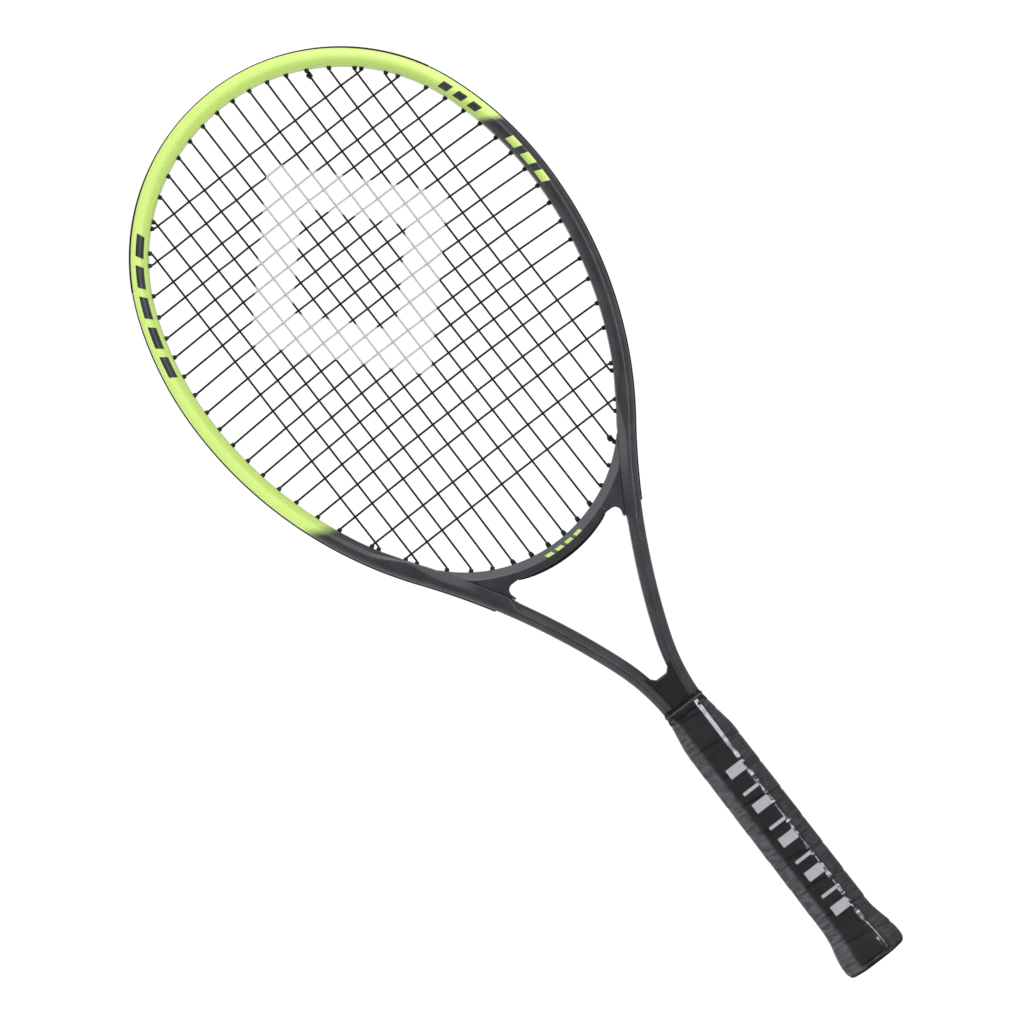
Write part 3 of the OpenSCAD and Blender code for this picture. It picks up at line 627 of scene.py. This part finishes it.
def wrap_finish():
    """Dark synthetic leather with a fine pebble and pin holes."""
    m = new_material("grip_wrap")
    holes = m.ramp(m.cells(0.42), 0.18, 0.10)
    tone = m.colour(m.noise(0.12), (0.015, 0.015, 0.017), (0.027, 0.027, 0.030))
    seam = m.product(m.ramp(m.attribute("seam"), 0.1, 0.9), 0.7)
    tone = m.colour(seam, tone, (0.005, 0.005, 0.006))
    tone = m.colour(holes, tone, (0.006, 0.006, 0.006))
    height = m.minus(m.cells(1.7), m.product(holes, 1.5))
    return m.finish(m.surface(tone, 0.55, m.bump(height, 0.2, 0.15), specular=0.12))


def film_print(m, x, y, z):
    """1 on plain blocks and lines down the front and back flats."""
    phase = m.repeated(m.minus(z, PRINT_START), PRINT_PITCH)
    bars = m.greatest(m.band(phase, 0.01, 0.26, 0.008), m.band(phase, 0.52, 0.60, 0.008))
    flats = m.ramp(m.math("ABSOLUTE", y), 13.0, 13.6)
    return m.product(bars, m.band(x, -4.4, 7.2, 0.25),
                     m.band(z, PRINT_START - 0.4, PRINT_STOP, 0.3), flats)


def film_shine(m, x, y, z, streaks):
    """Extra shine on the film's fold: all of it at the top, in short glints lower down."""
    folded = m.product(m.band(x, FOLD_FROM, FOLD_TO - 1, 0.4), m.ramp(y, -8.0, -10.0))
    glints = m.ramp(m.noise(0.5, 3, 0.6, streaks), 0.47, 0.57)
    return m.product(folded, m.greatest(glints, m.ramp(z, *FOLD_WHOLE)), 0.085)


def film_finish():
    """Clear sheet with creases and plain grey blocks printed down the front and back flats."""
    m = new_material("grip_film")
    x, y, z = m.xyz()
    ink = m.surface(m.colour(m.noise(0.3), (0.36, 0.36, 0.39), (0.47, 0.47, 0.50)), 0.35)
    streaks = m.feed(m.new("CombineXYZ"), m.product(x, 0.2), m.product(y, 0.2), z)
    broad, fine = (m.noise(scale, 4, 0.6, streaks) for scale in (0.5, 1.7))
    ripple = m.total(m.product(broad, 0.68), m.product(fine, 0.32))
    crease = m.bump(ripple, 0.5, 0.35)
    gloss = m.new("BsdfAnisotropic")
    for value, name in (((0.91, 0.88, 0.97, 1), "Color"), (0.16, "Roughness"), (crease, "Normal")):
        m.link(value, gloss.inputs[name])
    facing = m.math("ABSOLUTE", m.dot(m.new("NewGeometry").outputs["Incoming"], crease))
    graze = m.math("POWER", m.minus(1.0, facing), 5.0)
    mirror = m.total(0.065, m.product(graze, 0.5))
    mirror = m.product(mirror, m.total(0.35, m.ramp(ripple, 0.35, 0.65)))
    mirror = m.total(mirror, film_shine(m, x, y, z, streaks))
    clear = m.new("BsdfTransparent").outputs[0]
    sheet = m.mix_shaders(mirror, clear, gloss.outputs[0])
    return m.finish(m.mix_shaders(film_print(m, x, y, z), sheet, ink))


def tape_finish():
    """Glossy black tape, slightly rippled."""
    m = new_material("finishing_tape")
    tone = m.colour(m.noise(0.4), (0.006, 0.006, 0.007), (0.014, 0.014, 0.016))
    return m.finish(m.surface(tone, 0.25, m.bump(m.noise(0.5), 0.08, 0.2), specular=0.4))


def rubber_finish():
    m = new_material("grip_collar")
    tone = m.colour(m.noise(0.8), (0.045, 0.044, 0.049), (0.070, 0.069, 0.076))
    return m.finish(m.surface(tone, 0.5, m.bump(m.noise(2.5), 0.2, 0.1)))


def neck_finish():
    m = new_material("neck_black")
    tone = m.colour(m.noise(0.2), (0.010, 0.010, 0.011), (0.020, 0.020, 0.022))
    return m.finish(m.surface(tone, m.varied(0.42, 0.12, 0.6), m.bump(m.noise(1.8), 0.06, 0.1),
                              specular=0.25))


def foam_finish():
    m = new_material("pallet_foam")
    tone = m.colour(m.noise(0.5, 4), (0.50, 0.46, 0.34), (0.60, 0.56, 0.44))
    return m.finish(m.surface(tone, 0.85, m.bump(m.cells(1.2), 0.3, 0.2)))


def steel_finish():
    m = new_material("steel")
    brushed = m.noise(3.0, 4)
    tone = m.colour(brushed, (0.42, 0.42, 0.43), (0.62, 0.62, 0.63))
    return m.finish(m.surface(tone, m.total(0.25, m.product(brushed, 0.2)), metallic=1.0))


# ------ Frame ------
HALF = DEPTH / 2
HOOP_SECTION = ((GROOVE_DEPTH, GROOVE_HALF), (0, GROOVE_HALF), (0, HALF - 2.6), (2.6, HALF),
                (HOOP_W - 4.2, HALF), (HOOP_W, HALF - 2.9))
SHAFT_SECTION = ((0.01, 2.0), (0, GROOVE_HALF), (0, HALF - 2.9), (3.6, HALF), (5.2, HALF),
                 (SHAFT_W, HALF - 2.6))
# Stretch below the strips where the hoop's section turns into the shaft's
TURN_START, TURN_END = STRIP_END + 3, STRIP_END + 15
# Inner corner of the hoop where the bridge's ends are faired into it
SEAT_CORNER = ((HOOP_W - 0.2, HALF), (HOOP_W, HALF - 0.2))
SEAT_START, SEAT_LENGTH = along_at(392, 1), 34
FAIRING, FAIRING_LENGTH = 0.6, 18
BRIDGE_TOP, BRIDGE_CLEAR = along_at(361, 1), along_at(350, 1)
# Extra fullness over the tip, and the distances from it between which that fades out
SWELL, SWELL_START, SWELL_END = 0.6, 20, 110


def tube_section(along):
    """The hoop's grooved box turns into the shaft's ridged one below the strip."""
    along = abs(along)
    t = smoothstep(TURN_START, TURN_END, along)
    seat = smoothstep(SEAT_START, SEAT_START + SEAT_LENGTH, along)
    fairing = FAIRING * (smoothstep(SEAT_START, SEAT_START + FAIRING_LENGTH, along)
                         - smoothstep(BRIDGE_TOP, BRIDGE_CLEAR, along))
    hoop = list(HOOP_SECTION)
    for index, corner in ((-2, SEAT_CORNER[0]), (-1, SEAT_CORNER[1])):
        hoop[index] = (mix(hoop[index][0], corner[0], seat) + fairing,
                       mix(hoop[index][1], corner[1], seat))
    half = [(mix(a[0], b[0], t), mix(a[1], b[1], t)) for a, b in zip(hoop, SHAFT_SECTION)]
    return rounded(mirrored(half), mix(2.2, 2.6, t), 4)


def tip_swell(along):
    """The tube is a little fuller over the tip, where the guard is at its thinnest."""
    return SWELL * (1 - smoothstep(SWELL_START, SWELL_END, abs(along)))


def build_tube():
    verts, faces, marks, rings = [], [], [], []
    skin_depth = 4                      # the swell fades out this far in from the outer face
    for along in spaced(-HALF_LENGTH, HALF_LENGTH, 1.4):
        swell = tip_swell(along)
        section = [(s - swell * max(0.0, 1 - s / skin_depth), y) for s, y in tube_section(along)]
        rings.append(swept_ring(along, section))
        marks.extend((along, s) for s, _ in section)
    skin(rings, verts, faces)
    tube = new_piece("frame_tube_painted", verts, faces, tube_paint(), "frame_tube")
    for index, name in enumerate(("along", "inward")):
        layer = tube.data.attributes.new(name, "FLOAT", "POINT")
        layer.data.foreach_set("value", [mark[index] for mark in marks])


def smoothed_copy(node, name, voxel, rounds, material):
    """Copy of a CAD node with its hard edges softened by a fine remesh."""
    source = cad_object(node)
    obj = bpy.data.objects.new(name, source.data.copy())
    scene.collection.objects.link(obj)
    remesh = obj.modifiers.new("remesh", "REMESH")
    remesh.mode = "VOXEL"
    remesh.voxel_size = voxel * MM
    smooth = obj.modifiers.new("smooth", "SMOOTH")
    smooth.factor = 0.5
    smooth.iterations = rounds
    depsgraph = bpy.context.evaluated_depsgraph_get()
    mesh = bpy.data.meshes.new_from_object(obj.evaluated_get(depsgraph))
    obj.modifiers.clear()
    obj.data = mesh
    mesh.materials.clear()
    mesh.materials.append(material)
    mesh.polygons.foreach_set("use_smooth", [True] * len(mesh.polygons))
    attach(obj, ROOT)
    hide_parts(node)


# ------ Grommet strips and bumper guard ------
# Barrel from its mouth: distance along it, radius
BARREL_PROFILE = ((0.0, 0.8), (0.0, 1.0), (0.25, 1.25), (0.8, 1.4), (1.6, 1.5), (2.4, 1.65),
                  (3.2, 1.5))
BARREL_BORE = 0.85
BUMPER_HALF, STRIP_HALF = 8.5, 4.5      # half widths of the guard and the strips


def add_barrel(string_end, side, verts, faces, extra=0.0):
    """Turned barrel with a rounded mouth, from inside the head to the strip."""
    m, d, length = string_end
    axis = Vector((side * d.x, 0, d.y))
    start = Vector((side * m.x, 0, m.y)) - axis * extra
    foot = length + extra - 0.9
    profile = BARREL_PROFILE + ((foot, BARREL_PROFILE[-1][1]), (foot, BARREL_BORE))
    rings = [disc(start + axis * p, Y_AXIS, axis.cross(Y_AXIS), r, 16) for p, r in profile]
    skin(rings, verts, faces, caps=False, closed=True)


def strip_section(half, swell):
    floor = LOOP_DEPTH + STRING_R + 0.1
    under = -0.05 - swell
    return rounded(mirrored((
        (floor, 2.2), (-STRIP_T, 2.2), (-STRIP_T, half - 0.8),
        (-STRIP_T + 0.6 * (1 - swell), half), (under, half), (under, GROOVE_HALF - 0.1),
        (GROOVE_DEPTH - 0.05, GROOVE_HALF - 0.1))), 0.3, 2)


def build_strip(name, start, end, half, ends, node, material):
    """One strip between two distances along the outline, with its barrels."""
    verts, faces = [], []
    rings = [swept_ring(along, strip_section(half, tip_swell(along)))
             for along in spaced(start, end, 1.6)]
    skin(rings, verts, faces)
    for string_end, side in ends:
        add_barrel(string_end, side, verts, faces)
    new_piece(name, verts, faces, material, node)


def build_strips():
    black = moulded_black("strip_plastic", (0.010, 0.010, 0.011), 0.4)
    first = CROSSES - 2
    top = [(top_end(i), side) for i in range(MAINS) for side in (-1, 1)]
    top += [(side_end(k), side) for k in range(first, CROSSES) for side in (-1, 1)]
    build_strip("bumper_guard_moulded", -BUMPER_END, BUMPER_END, BUMPER_HALF, top,
                "bumper_guard", black)
    for side, word in ((-1, "left"), (1, "right")):
        ends = [(bottom_end(i), side) for i in range(THROAT_MAINS, MAINS)]
        ends += [(side_end(k), side) for k in range(first)]
        build_strip(f"grommet_strip_{word}_moulded", side * (BUMPER_END + 0.2), side * STRIP_END,
                    STRIP_HALF, ends, f"grommet_strip_{word}", black)
    build_throat_strip(black)


def build_throat_strip(material):
    verts, faces = [], []
    outer, half_length = BRIDGE_R + BRIDGE_T + 0.05, 34
    reach = math.degrees(math.asin(half_length / outer))
    section = rounded(mirrored(((0, 4.6), (1.6, 4.4), (1.95, 3.8))), 0.3, 2)
    rings = []
    for angle in spaced(270 - reach, 270 + reach, 0.8):
        out = polar(1, angle)
        fade = 0.15 + 0.85 * max(0.0, 1 - ((angle - 270) / reach) ** 2) ** 0.7
        rings.append([(out.x * (outer + s * fade), y, C_BRIDGE.y + out.y * (outer + s * fade))
                      for s, y in section])
    skin(rings, verts, faces)
    for i in range(THROAT_MAINS):
        for side in (-1, 1):
            m, d, length = bottom_end(i)
            add_barrel((m, d, length + 1.2), side, verts, faces, extra=1.0)
    new_piece("grommet_strip_throat_moulded", verts, faces, material, "grommet_strip_throat")


# ------ Strings ------
MAIN_WAVE = 0.30                     # mains are pulled this far off the middle plane
CROSS_WAVE = 2 * STRING_R - MAIN_WAVE + 0.03
STRING_SIDES = 10
FREE_END = 2.5                       # a string meets no other this close to its mouth
KNOT_HEAD_MAIN, KNOT_THROAT_MAIN = 4, 5


def lift(p, side=1, y=0.0):
    return Vector((side * p[0], y, p[1]))


def mouth(string_end, side):
    return lift(string_end[0], side)


def way_out(string_end, side):
    m, d, length = string_end
    return lift(m + d * length, side)


def over(j, k):
    """1 where cross k passes in front of main j, else -1."""
    return 1 if (j + k) % 2 == 0 else -1


def main_order(i, side):
    return i + MAINS if side > 0 else MAINS - 1 - i


def weave(knots, step, least):
    """Places along a string and how far off the middle plane it is, eased between knots."""
    for (start, y0), (stop, y1) in zip(knots, knots[1:]):
        steps = max(least, round((stop - start) / step))
        for s in range(steps):
            t = s / steps
            yield mix(start, stop, t), mix(y0, y1, (1 - math.cos(math.pi * t)) / 2)


def main_x_at(i, z, low, high):
    t = (2 * z - low - high) / (high - low)
    return mix(main_x(i), main_top_x(i) if t > 0 else main_low_x(i), t * t)


def cross_z_at(k, x):
    return CROSS_Z[k] - sag(k) * (x / side_end(k)[0].x) ** 2


def main_run(i, side):
    """One main from its bottom way out to its top way out."""
    bottom, top = bottom_end(i), top_end(i)
    low, high = bottom[0].y, top[0].y
    knots = [(low + 2, 0.0)]
    for k in range(CROSSES):
        if side_end(k)[0].x > main_x(i) + FREE_END:
            z = cross_z_at(k, main_x(i))
            knots.append((z, -over(main_order(i, side), k) * MAIN_WAVE))
    knots.append((high - 2, 0.0))
    places = [*weave(knots, 3.0, 2), knots[-1]]
    run = [Vector((side * main_x_at(i, z, low, high), y, z)) for z, y in places]
    return [way_out(bottom, side), mouth(bottom, side), *run, mouth(top, side), way_out(top, side)]


def cross_run(k):
    """One cross from left to right, over and under the mains it meets."""
    end = side_end(k)
    half = end[0].x
    knots = [(-half + 1.5, 0.0)]
    for j in range(2 * MAINS):
        i, side = (j - MAINS, 1) if j >= MAINS else (MAINS - 1 - j, -1)
        low, high = bottom_end(i)[0].y, top_end(i)[0].y
        x = side * main_x_at(i, CROSS_Z[k], low, high)
        if abs(x) < half - FREE_END:
            knots.append((x, over(j, k) * CROSS_WAVE))
    knots.append((half - 1.5, 0.0))
    places = [*weave(knots, 1.5, 3), knots[-1]]
    run = [Vector((x, y, cross_z_at(k, x))) for x, y in places]
    return [way_out(end, -1), mouth(end, -1), *run, mouth(end, 1), way_out(end, 1)]


def passing(a, b, y):
    """Part of a loop that steps sideways past another string's way out."""
    step = Vector((0, y, 0))
    inset = (b - a).normalized() * 2.6
    return [a + inset + step, (a + b) / 2 + step, b - inset + step]


def main_path():
    last = MAINS - 1
    path = [way_out(bottom_end(KNOT_THROAT_MAIN), 1) + Vector((2, BYPASS, 3))]
    path += passing(way_out(bottom_end(last - 1), 1), way_out(bottom_end(last), 1), BYPASS)
    for i in range(last, -1, -1):
        run = main_run(i, 1)
        path += run if i % 2 == 1 else run[::-1]
        if i == last:
            path += passing(way_out(top_end(i), 1), way_out(top_end(i - 1), 1), BYPASS)
    for i in range(MAINS):
        run = main_run(i, -1)
        path += run if i % 2 == 0 else run[::-1]
        if i == last - 1:
            path += passing(way_out(top_end(i), -1), way_out(top_end(i + 1), -1), BYPASS)
    return path


def cross_path():
    path = []
    for k in range(CROSSES):
        run = cross_run(k)
        path += run if k % 2 == 0 else run[::-1]
        if k in (0, CROSSES - 2):
            side = 1 if k % 2 == 0 else -1
            path += passing(way_out(side_end(k), side), way_out(side_end(k + 1), side), -BYPASS)
    path += passing(way_out(side_end(CROSSES - 1), 1), way_out(top_end(KNOT_HEAD_MAIN + 1), 1),
                    -BYPASS)
    path.append(way_out(top_end(KNOT_HEAD_MAIN), 1) + Vector((2.5, -BYPASS, -1.2)))
    return path


def build_strings():
    finish = string_finish()
    for node, path in (("main_strings", main_path()), ("cross_strings", cross_path())):
        verts, faces = rod(round_path(path, 0.9), STRING_R, STRING_SIDES)
        new_piece(node + "_woven", verts, faces, finish, node)
    build_knot("knot_head", top_end(KNOT_HEAD_MAIN), -1, finish)
    build_knot("knot_throat", bottom_end(KNOT_THROAT_MAIN), 1, finish)


def build_knot(node, string_end, inwards, finish):
    """Two hitches pulled tight round a main, with a short cut tail."""
    m = string_end[0]
    turns, steps, pitch, r = 2.4, 16, 1.28, 2 * STRING_R + 0.03
    path = [Vector((m.x + 0.5, 0.5, m.y - inwards))]
    for s in range(round(turns * steps) + 1):
        a = 2 * math.pi * s / steps
        path.append(Vector((m.x + r * math.cos(a), r * math.sin(a),
                            m.y + inwards * (0.7 + pitch * s / steps))))
    end = path[-1]
    path.append(end + Vector((0.9, 1.3, inwards * 0.5)))
    path.append(end + Vector((1.2, 2.2, inwards * 1.4)))
    verts, faces = rod(round_path(path, 0.5), STRING_R, STRING_SIDES)
    new_piece(node + "_tied", verts, faces, finish, node)


# ------ Handle ------
def grip_size(z):
    """Half width, half depth and half flat of the grip, eased between the profile's heights."""
    total = [0.0, 0.0, 0.0]
    samples = 9
    reach = 3.2
    for s in range(samples):
        h = z + reach * (2 * s / (samples - 1) - 1)
        for a, b in zip(GRIP, GRIP[1:]):
            if h <= b[0] or b is GRIP[-1]:
                t = min(max((h - a[0]) / (b[0] - a[0]), 0.0), 1.0)
                for c in range(3):
                    total[c] += mix(a[c + 1], b[c + 1], t) / samples
                break
    return total


def octagon_loop(hx, hy, fx, radius, side_steps=10):
    """Points and outward normals of a rounded eight-sided loop, starting at the front left."""
    fy = hy - (hx - fx)
    corners = ((-fx, -hy), (fx, -hy), (hx, -fy), (hx, fy), (fx, hy), (-fx, hy), (-hx, fy),
               (-hx, -fy))
    points = rounded(corners, radius, 6, side_steps)
    n = len(points)
    normals = []
    for i in range(n):
        t = points[(i + 1) % n] - points[i - 1]
        normals.append(Vector((t.y, -t.x)).normalized())
    return points, normals


WRAP_PITCH, WRAP_T = 21.5, 1.7
WRAP_BOTTOM, WRAP_TOP = 4.2, 199.4
FILM_BOTTOM, FILM_TOP = 1.4, 199.5
TAPE_BOTTOM, TAPE_TOP = 195.0, 203.4
COLLAR_BOTTOM, COLLAR_TOP = 199.7, 201.0
CAP_FLOOR, CAP_SKIRT_TOP = 3.1, 31.5
DOOR_BORE_R, DOOR_RECESS_R = 11.0, 12.0


def wave(x, y, z):
    return noise.noise(Vector((x, y, z)))


def lap(u, z):
    """How deep the wrap's surface sits at a lap, and how near the seam is (0 to 1)."""
    phase = (z + 0.9 * wave(u * 3, z * 0.05, 1.7)) / WRAP_PITCH + u
    f = phase - math.floor(phase)
    distance = min(f, 1 - f) * WRAP_PITCH
    seam = math.exp(-((distance / 1.0) ** 2))
    return -0.55 * seam + 0.28 * (1 - f) - 0.14, seam


def build_wrap():
    rings, seams = [], []
    for z in spaced(WRAP_BOTTOM, WRAP_TOP, 0.6):
        hx, hy, fx = grip_size(z)
        points, normals = octagon_loop(hx, hy, fx, 2.6)
        ring = []
        for i, (p, n) in enumerate(zip(points, normals)):
            depth, seam = lap(i / len(points), z)
            end_fade = smoothstep(0, 1.2, min(z - WRAP_BOTTOM, WRAP_TOP - z))
            q = p + n * (depth * end_fade - 0.5 * (1 - end_fade))
            ring.append((q.x, q.y, z))
            seams.append(seam)
        rings.append(ring)
    for z in spaced(WRAP_TOP - 0.2, WRAP_BOTTOM + 0.2, 4.0):
        hx, hy, fx = grip_size(z)
        points, _ = octagon_loop(hx - WRAP_T, hy - WRAP_T, fx - 0.7, 1.5)
        rings.append([(p.x, p.y, z) for p in points])
        seams.extend([0.0] * len(points))
    verts, faces = [], []
    skin(rings, verts, faces, caps=False, closed=True)
    wrap = new_piece("grip_wrap_wound", verts, faces, wrap_finish(), "grip_wrap")
    layer = wrap.data.attributes.new("seam", "FLOAT", "POINT")
    layer.data.foreach_set("value", seams)


def fold(q, hy, z):
    """Draws the film tight across the front flat's right edge, in patches below mid-handle."""
    if q.y > 0 or not FOLD_FROM < q.x < FOLD_TO:
        return q
    whole = smoothstep(*FOLD_WHOLE, z)
    patch = smoothstep(-0.15, 0.05, wave(1.3, 4.1, z * 0.22))
    start = FOLD_FROM + (1.6 - 0.8 * whole) * wave(2.2, 6.4, z * 0.5)
    taut = min(q.y, -hy - 0.8 + (q.x - start) * FOLD_SLOPE)
    return Vector((q.x, mix(q.y, taut, mix(patch, 1.0, whole))))


def build_film():
    """Thin clear sleeve that bridges the wrap's hollows, with fine creases."""
    rings = []
    for z in spaced(FILM_BOTTOM, FILM_TOP, 0.7):
        hx, hy, fx = grip_size(z)
        points, normals = octagon_loop(hx, hy, fx, 2.4, side_steps=16)
        ring = []
        for i, (p, n) in enumerate(zip(points, normals)):
            u = i / len(points)
            depth, _ = lap(u, z)
            crease = wave(p.x * 0.18, p.y * 0.18 + 7, z * 0.07)
            fine = wave(p.x * 0.15, p.y * 0.15 + 3, z * 0.8)
            rest = 0.34 + max(depth, -0.25) * 0.35 + 0.12 * abs(crease) + 0.07 * abs(fine)
            foot = smoothstep(0, 2.5, z - FILM_BOTTOM)
            q = fold(p + n * (rest - 0.9 * (1 - foot)), hy, z)
            ring.append((q.x, q.y, z))
        rings.append(ring)
    verts, faces = [], []
    skin(rings, verts, faces, caps=False)
    film = new_piece("grip_film_clear", verts, faces, film_finish(), "grip_film")
    shell = film.modifiers.new("thickness", "SOLIDIFY")
    shell.thickness = 0.06 * MM
    shell.offset = 1


def build_band(name, node, body, levels, thickness, radius, material, ripple=0.0):
    """Rounded eight-sided band; levels are height, half width, half depth, half flat."""
    rings = []
    for z, hx, hy, fx in levels:
        points, normals = octagon_loop(hx + thickness, hy + thickness, fx, radius)
        ring = []
        for p, n in zip(points, normals):
            q = p + n * ripple * wave(p.x * 0.3, p.y * 0.3, z * 0.4)
            ring.append((q.x, q.y, z))
        rings.append(ring)
    for z, hx, hy, fx in reversed(levels):
        points, _ = octagon_loop(hx, hy, fx, radius)
        rings.append([(p.x, p.y, z) for p in points])
    verts, faces = [], []
    skin(rings, verts, faces, caps=False, closed=True)
    new_piece(name, verts, faces, material, node, body)


def build_bands():
    wide, deep = NECK_X + 0.03, HALF + 0.03
    levels = []
    for z in spaced(TAPE_BOTTOM, TAPE_TOP, 0.4):
        hx, hy, fx = grip_size(z)
        t = smoothstep(196.5, 199.8, z)
        levels.append((z, mix(hx + 0.4, wide, t), mix(hy + 0.4, deep, t), mix(fx, wide - 2.3, t)))
    build_band("finishing_tape_wound", "finishing_tape", ROOT, levels, 0.12, 1.4,
               tape_finish(), ripple=0.02)
    inner_x, inner_y = wide + 0.32, deep + 0.18     # clears the neck at the top of its slide
    levels = [(z, inner_x, inner_y, inner_x - 2.4)
              for z in spaced(COLLAR_BOTTOM, COLLAR_TOP, 0.26)]
    body = body_of(cad_object("grip_collar"))[0]
    build_band("grip_collar_rubber", "grip_collar", body, levels, 0.4, 1.6,
               rubber_finish())


def build_cap():
    """Butt cap: rounded end flange with a recess for the door, and a skirt under the wrap."""
    def circle(r, z, n):
        start = math.radians(215)
        turns = [start + 2 * math.pi * i / n for i in range(n)]
        return [(r * math.cos(a), r * math.sin(a), z) for a in turns]

    def eight(z, inset, radius=3.2):
        hx, hy, fx = grip_size(z)
        points, _ = octagon_loop(hx - inset, hy - inset, fx - 0.41 * inset, radius)
        return [(p.x, p.y, z) for p in points]

    n = len(eight(0, 0))
    rings = [circle(DOOR_BORE_R, CAP_FLOOR, n), circle(DOOR_BORE_R, 1.3, n),
             circle(DOOR_RECESS_R, 1.3, n), circle(DOOR_RECESS_R, 0.3, n),
             circle(DOOR_RECESS_R + 0.3, 0.0, n), eight(0.0, 3.4), eight(0.25, 1.6),
             eight(0.9, 0.6), eight(2.0, 0.12), eight(WRAP_BOTTOM - 0.05, 0.0),
             eight(WRAP_BOTTOM, 1.8), eight(CAP_SKIRT_TOP, 1.8), eight(CAP_SKIRT_TOP, 3.0)]
    rings.append([(x * 0.98, y * 0.98, CAP_FLOOR) for x, y, _ in rings[-1]])
    verts, faces = [], []
    skin(rings, verts, faces, caps=False, closed=True)
    new_piece("butt_cap_moulded", verts, faces, moulded_black("cap_plastic", rough=0.45),
              "butt_cap", smooth=False)


def finish_cad(node, material, bevel=0.0):
    """Gives a carried-over CAD node its finish and soft edges."""
    obj = cad_object(node)
    for entry in obj.material_slots:
        entry.link = "OBJECT"
        entry.material = material
    if bevel:
        weld = obj.modifiers.new("weld", "WELD")
        weld.merge_threshold = 0.001 * MM
        edge = obj.modifiers.new("soft_edges", "BEVEL")
        edge.width = bevel * MM
        edge.segments = 2
        edge.limit_method = "ANGLE"


# ------ Build ------
build_tube()
smoothed_copy("throat_bridge", "throat_bridge_moulded", 0.4, 2, bridge_paint())
smoothed_copy("neck_filler", "neck_filler_painted", 0.45, 3, neck_finish())
build_strips()
build_strings()
build_wrap()
build_film()
build_bands()
build_cap()

foam = foam_finish()
steel = steel_finish()
for cad_node in ("pallet_front", "pallet_back"):
    finish_cad(cad_node, foam)
for cad_node in ("butt_staple_front", "butt_staple_back", "grip_tack"):
    finish_cad(cad_node, steel, 0.12)
door_black = moulded_black("door_plastic", (0.02, 0.02, 0.021), 0.5)
finish_cad("butt_door", door_black, 0.25)


# ------ Floor, light and camera ------
def build_floor():
    size, drop = 6.0, -0.03
    mesh = bpy.data.meshes.new("floor")
    corners = [(x * size, y * size, drop) for x, y in ((-1, -1), (1, -1), (1, 1), (-1, 1))]
    mesh.from_pydata(corners, [], [(0, 1, 2, 3)])
    floor = bpy.data.objects.new("floor", mesh)
    scene.collection.objects.link(floor)
    m = new_material("floor_white")
    tone = m.colour(m.noise(0.02), (0.88, 0.88, 0.88), (0.92, 0.92, 0.92))
    glow = m.new("Emission")
    m.link(0.35, glow.inputs["Strength"])
    paper = m.feed(m.new("AddShader"), m.surface(tone, 0.8, specular=0.1), glow.outputs[0])
    mesh.materials.append(m.finish(paper))
    floor.visible_glossy = False


# How bright the room is along two directions: the direction, how far along it the light starts
# and stops rising, and its dark and bright ends
LIT_ROOM = (((0, 1, 0), -1.0, -0.35, 0.25, 0.9), ((0.61, 0, 0.79), -1.0, 0.8, 0.55, 1.15))
MIRRORED_ROOM = (((0, 1, 0), -1.0, -0.2, 0.1, 1.0), ((-1, 0, 0.4), -1.1, 1.1, 0.4, 0.95))


def build_world():
    """White room for the camera, dimmer from behind it, and darker still in reflections."""
    scene.world = bpy.data.worlds.new("studio")
    w = Nodes(scene.world, "OutputWorld")
    outwards = w.new("TexCoord").outputs["Generated"]

    def background(strength, white):
        node = w.new("Background")
        w.link((white, white, white, 1), node.inputs["Color"])
        w.link(strength, node.inputs["Strength"])
        return node.outputs[0]

    def room(fades, white):
        levels = [w.ramp(w.dot(outwards, direction), *fade) for direction, *fade in fades]
        return background(w.product(*levels), white)

    ray = w.new("LightPath").outputs
    shader = w.mix_shaders(ray["Is Glossy Ray"], room(LIT_ROOM, 1.0), room(MIRRORED_ROOM, 0.8))
    w.finish(w.mix_shaders(ray["Is Camera Ray"], shader, background(1.05, 1.0)))


def add_light(name, place, target, size, power, shine_only=False):
    data = bpy.data.lights.new(name, "AREA")
    data.shape = "RECTANGLE"
    data.size, data.size_y = size
    data.energy = power
    light = bpy.data.objects.new(name, data)
    scene.collection.objects.link(light)
    light.location = place
    direction = Vector(target) - Vector(place)
    light.rotation_euler = direction.to_track_quat("-Z", "Y").to_euler()
    light.visible_diffuse = not shine_only


def build_camera():
    """Square-on view of the front with the racket leaning 37.5 degrees to the left."""
    distance = 3.0
    rim = 0.009                         # the outline seen is that of the front rim
    width = 0.6403                      # width of the picture at that rim, m
    middle_x, middle_z = -0.0116, 0.3619
    lean = math.radians(37.48)
    data = bpy.data.cameras.new("camera")
    data.lens = data.sensor_width * (distance - rim) / width
    camera = bpy.data.objects.new("camera", data)
    scene.collection.objects.link(camera)
    up = Vector((math.sin(lean), 0, math.cos(lean)))
    right = Vector((math.cos(lean), 0, -math.sin(lean)))
    back = Vector((0, -1, 0))
    turn = Matrix((right, up, back)).transposed()
    camera.matrix_world = Matrix.Translation((middle_x, -distance, middle_z)) @ turn.to_4x4()
    scene.camera = camera


scene.view_settings.view_transform = "Standard"
build_floor()
build_world()
add_light("key_above", (1.3, -1.9, 2.1), (0, 0, 0.4), (1.5, 1.5), 26)
add_light("strip_right", (1.0, -2.7, 0.3), (0, 0, 0.15), (0.45, 2.0), 11, shine_only=True)
build_camera()
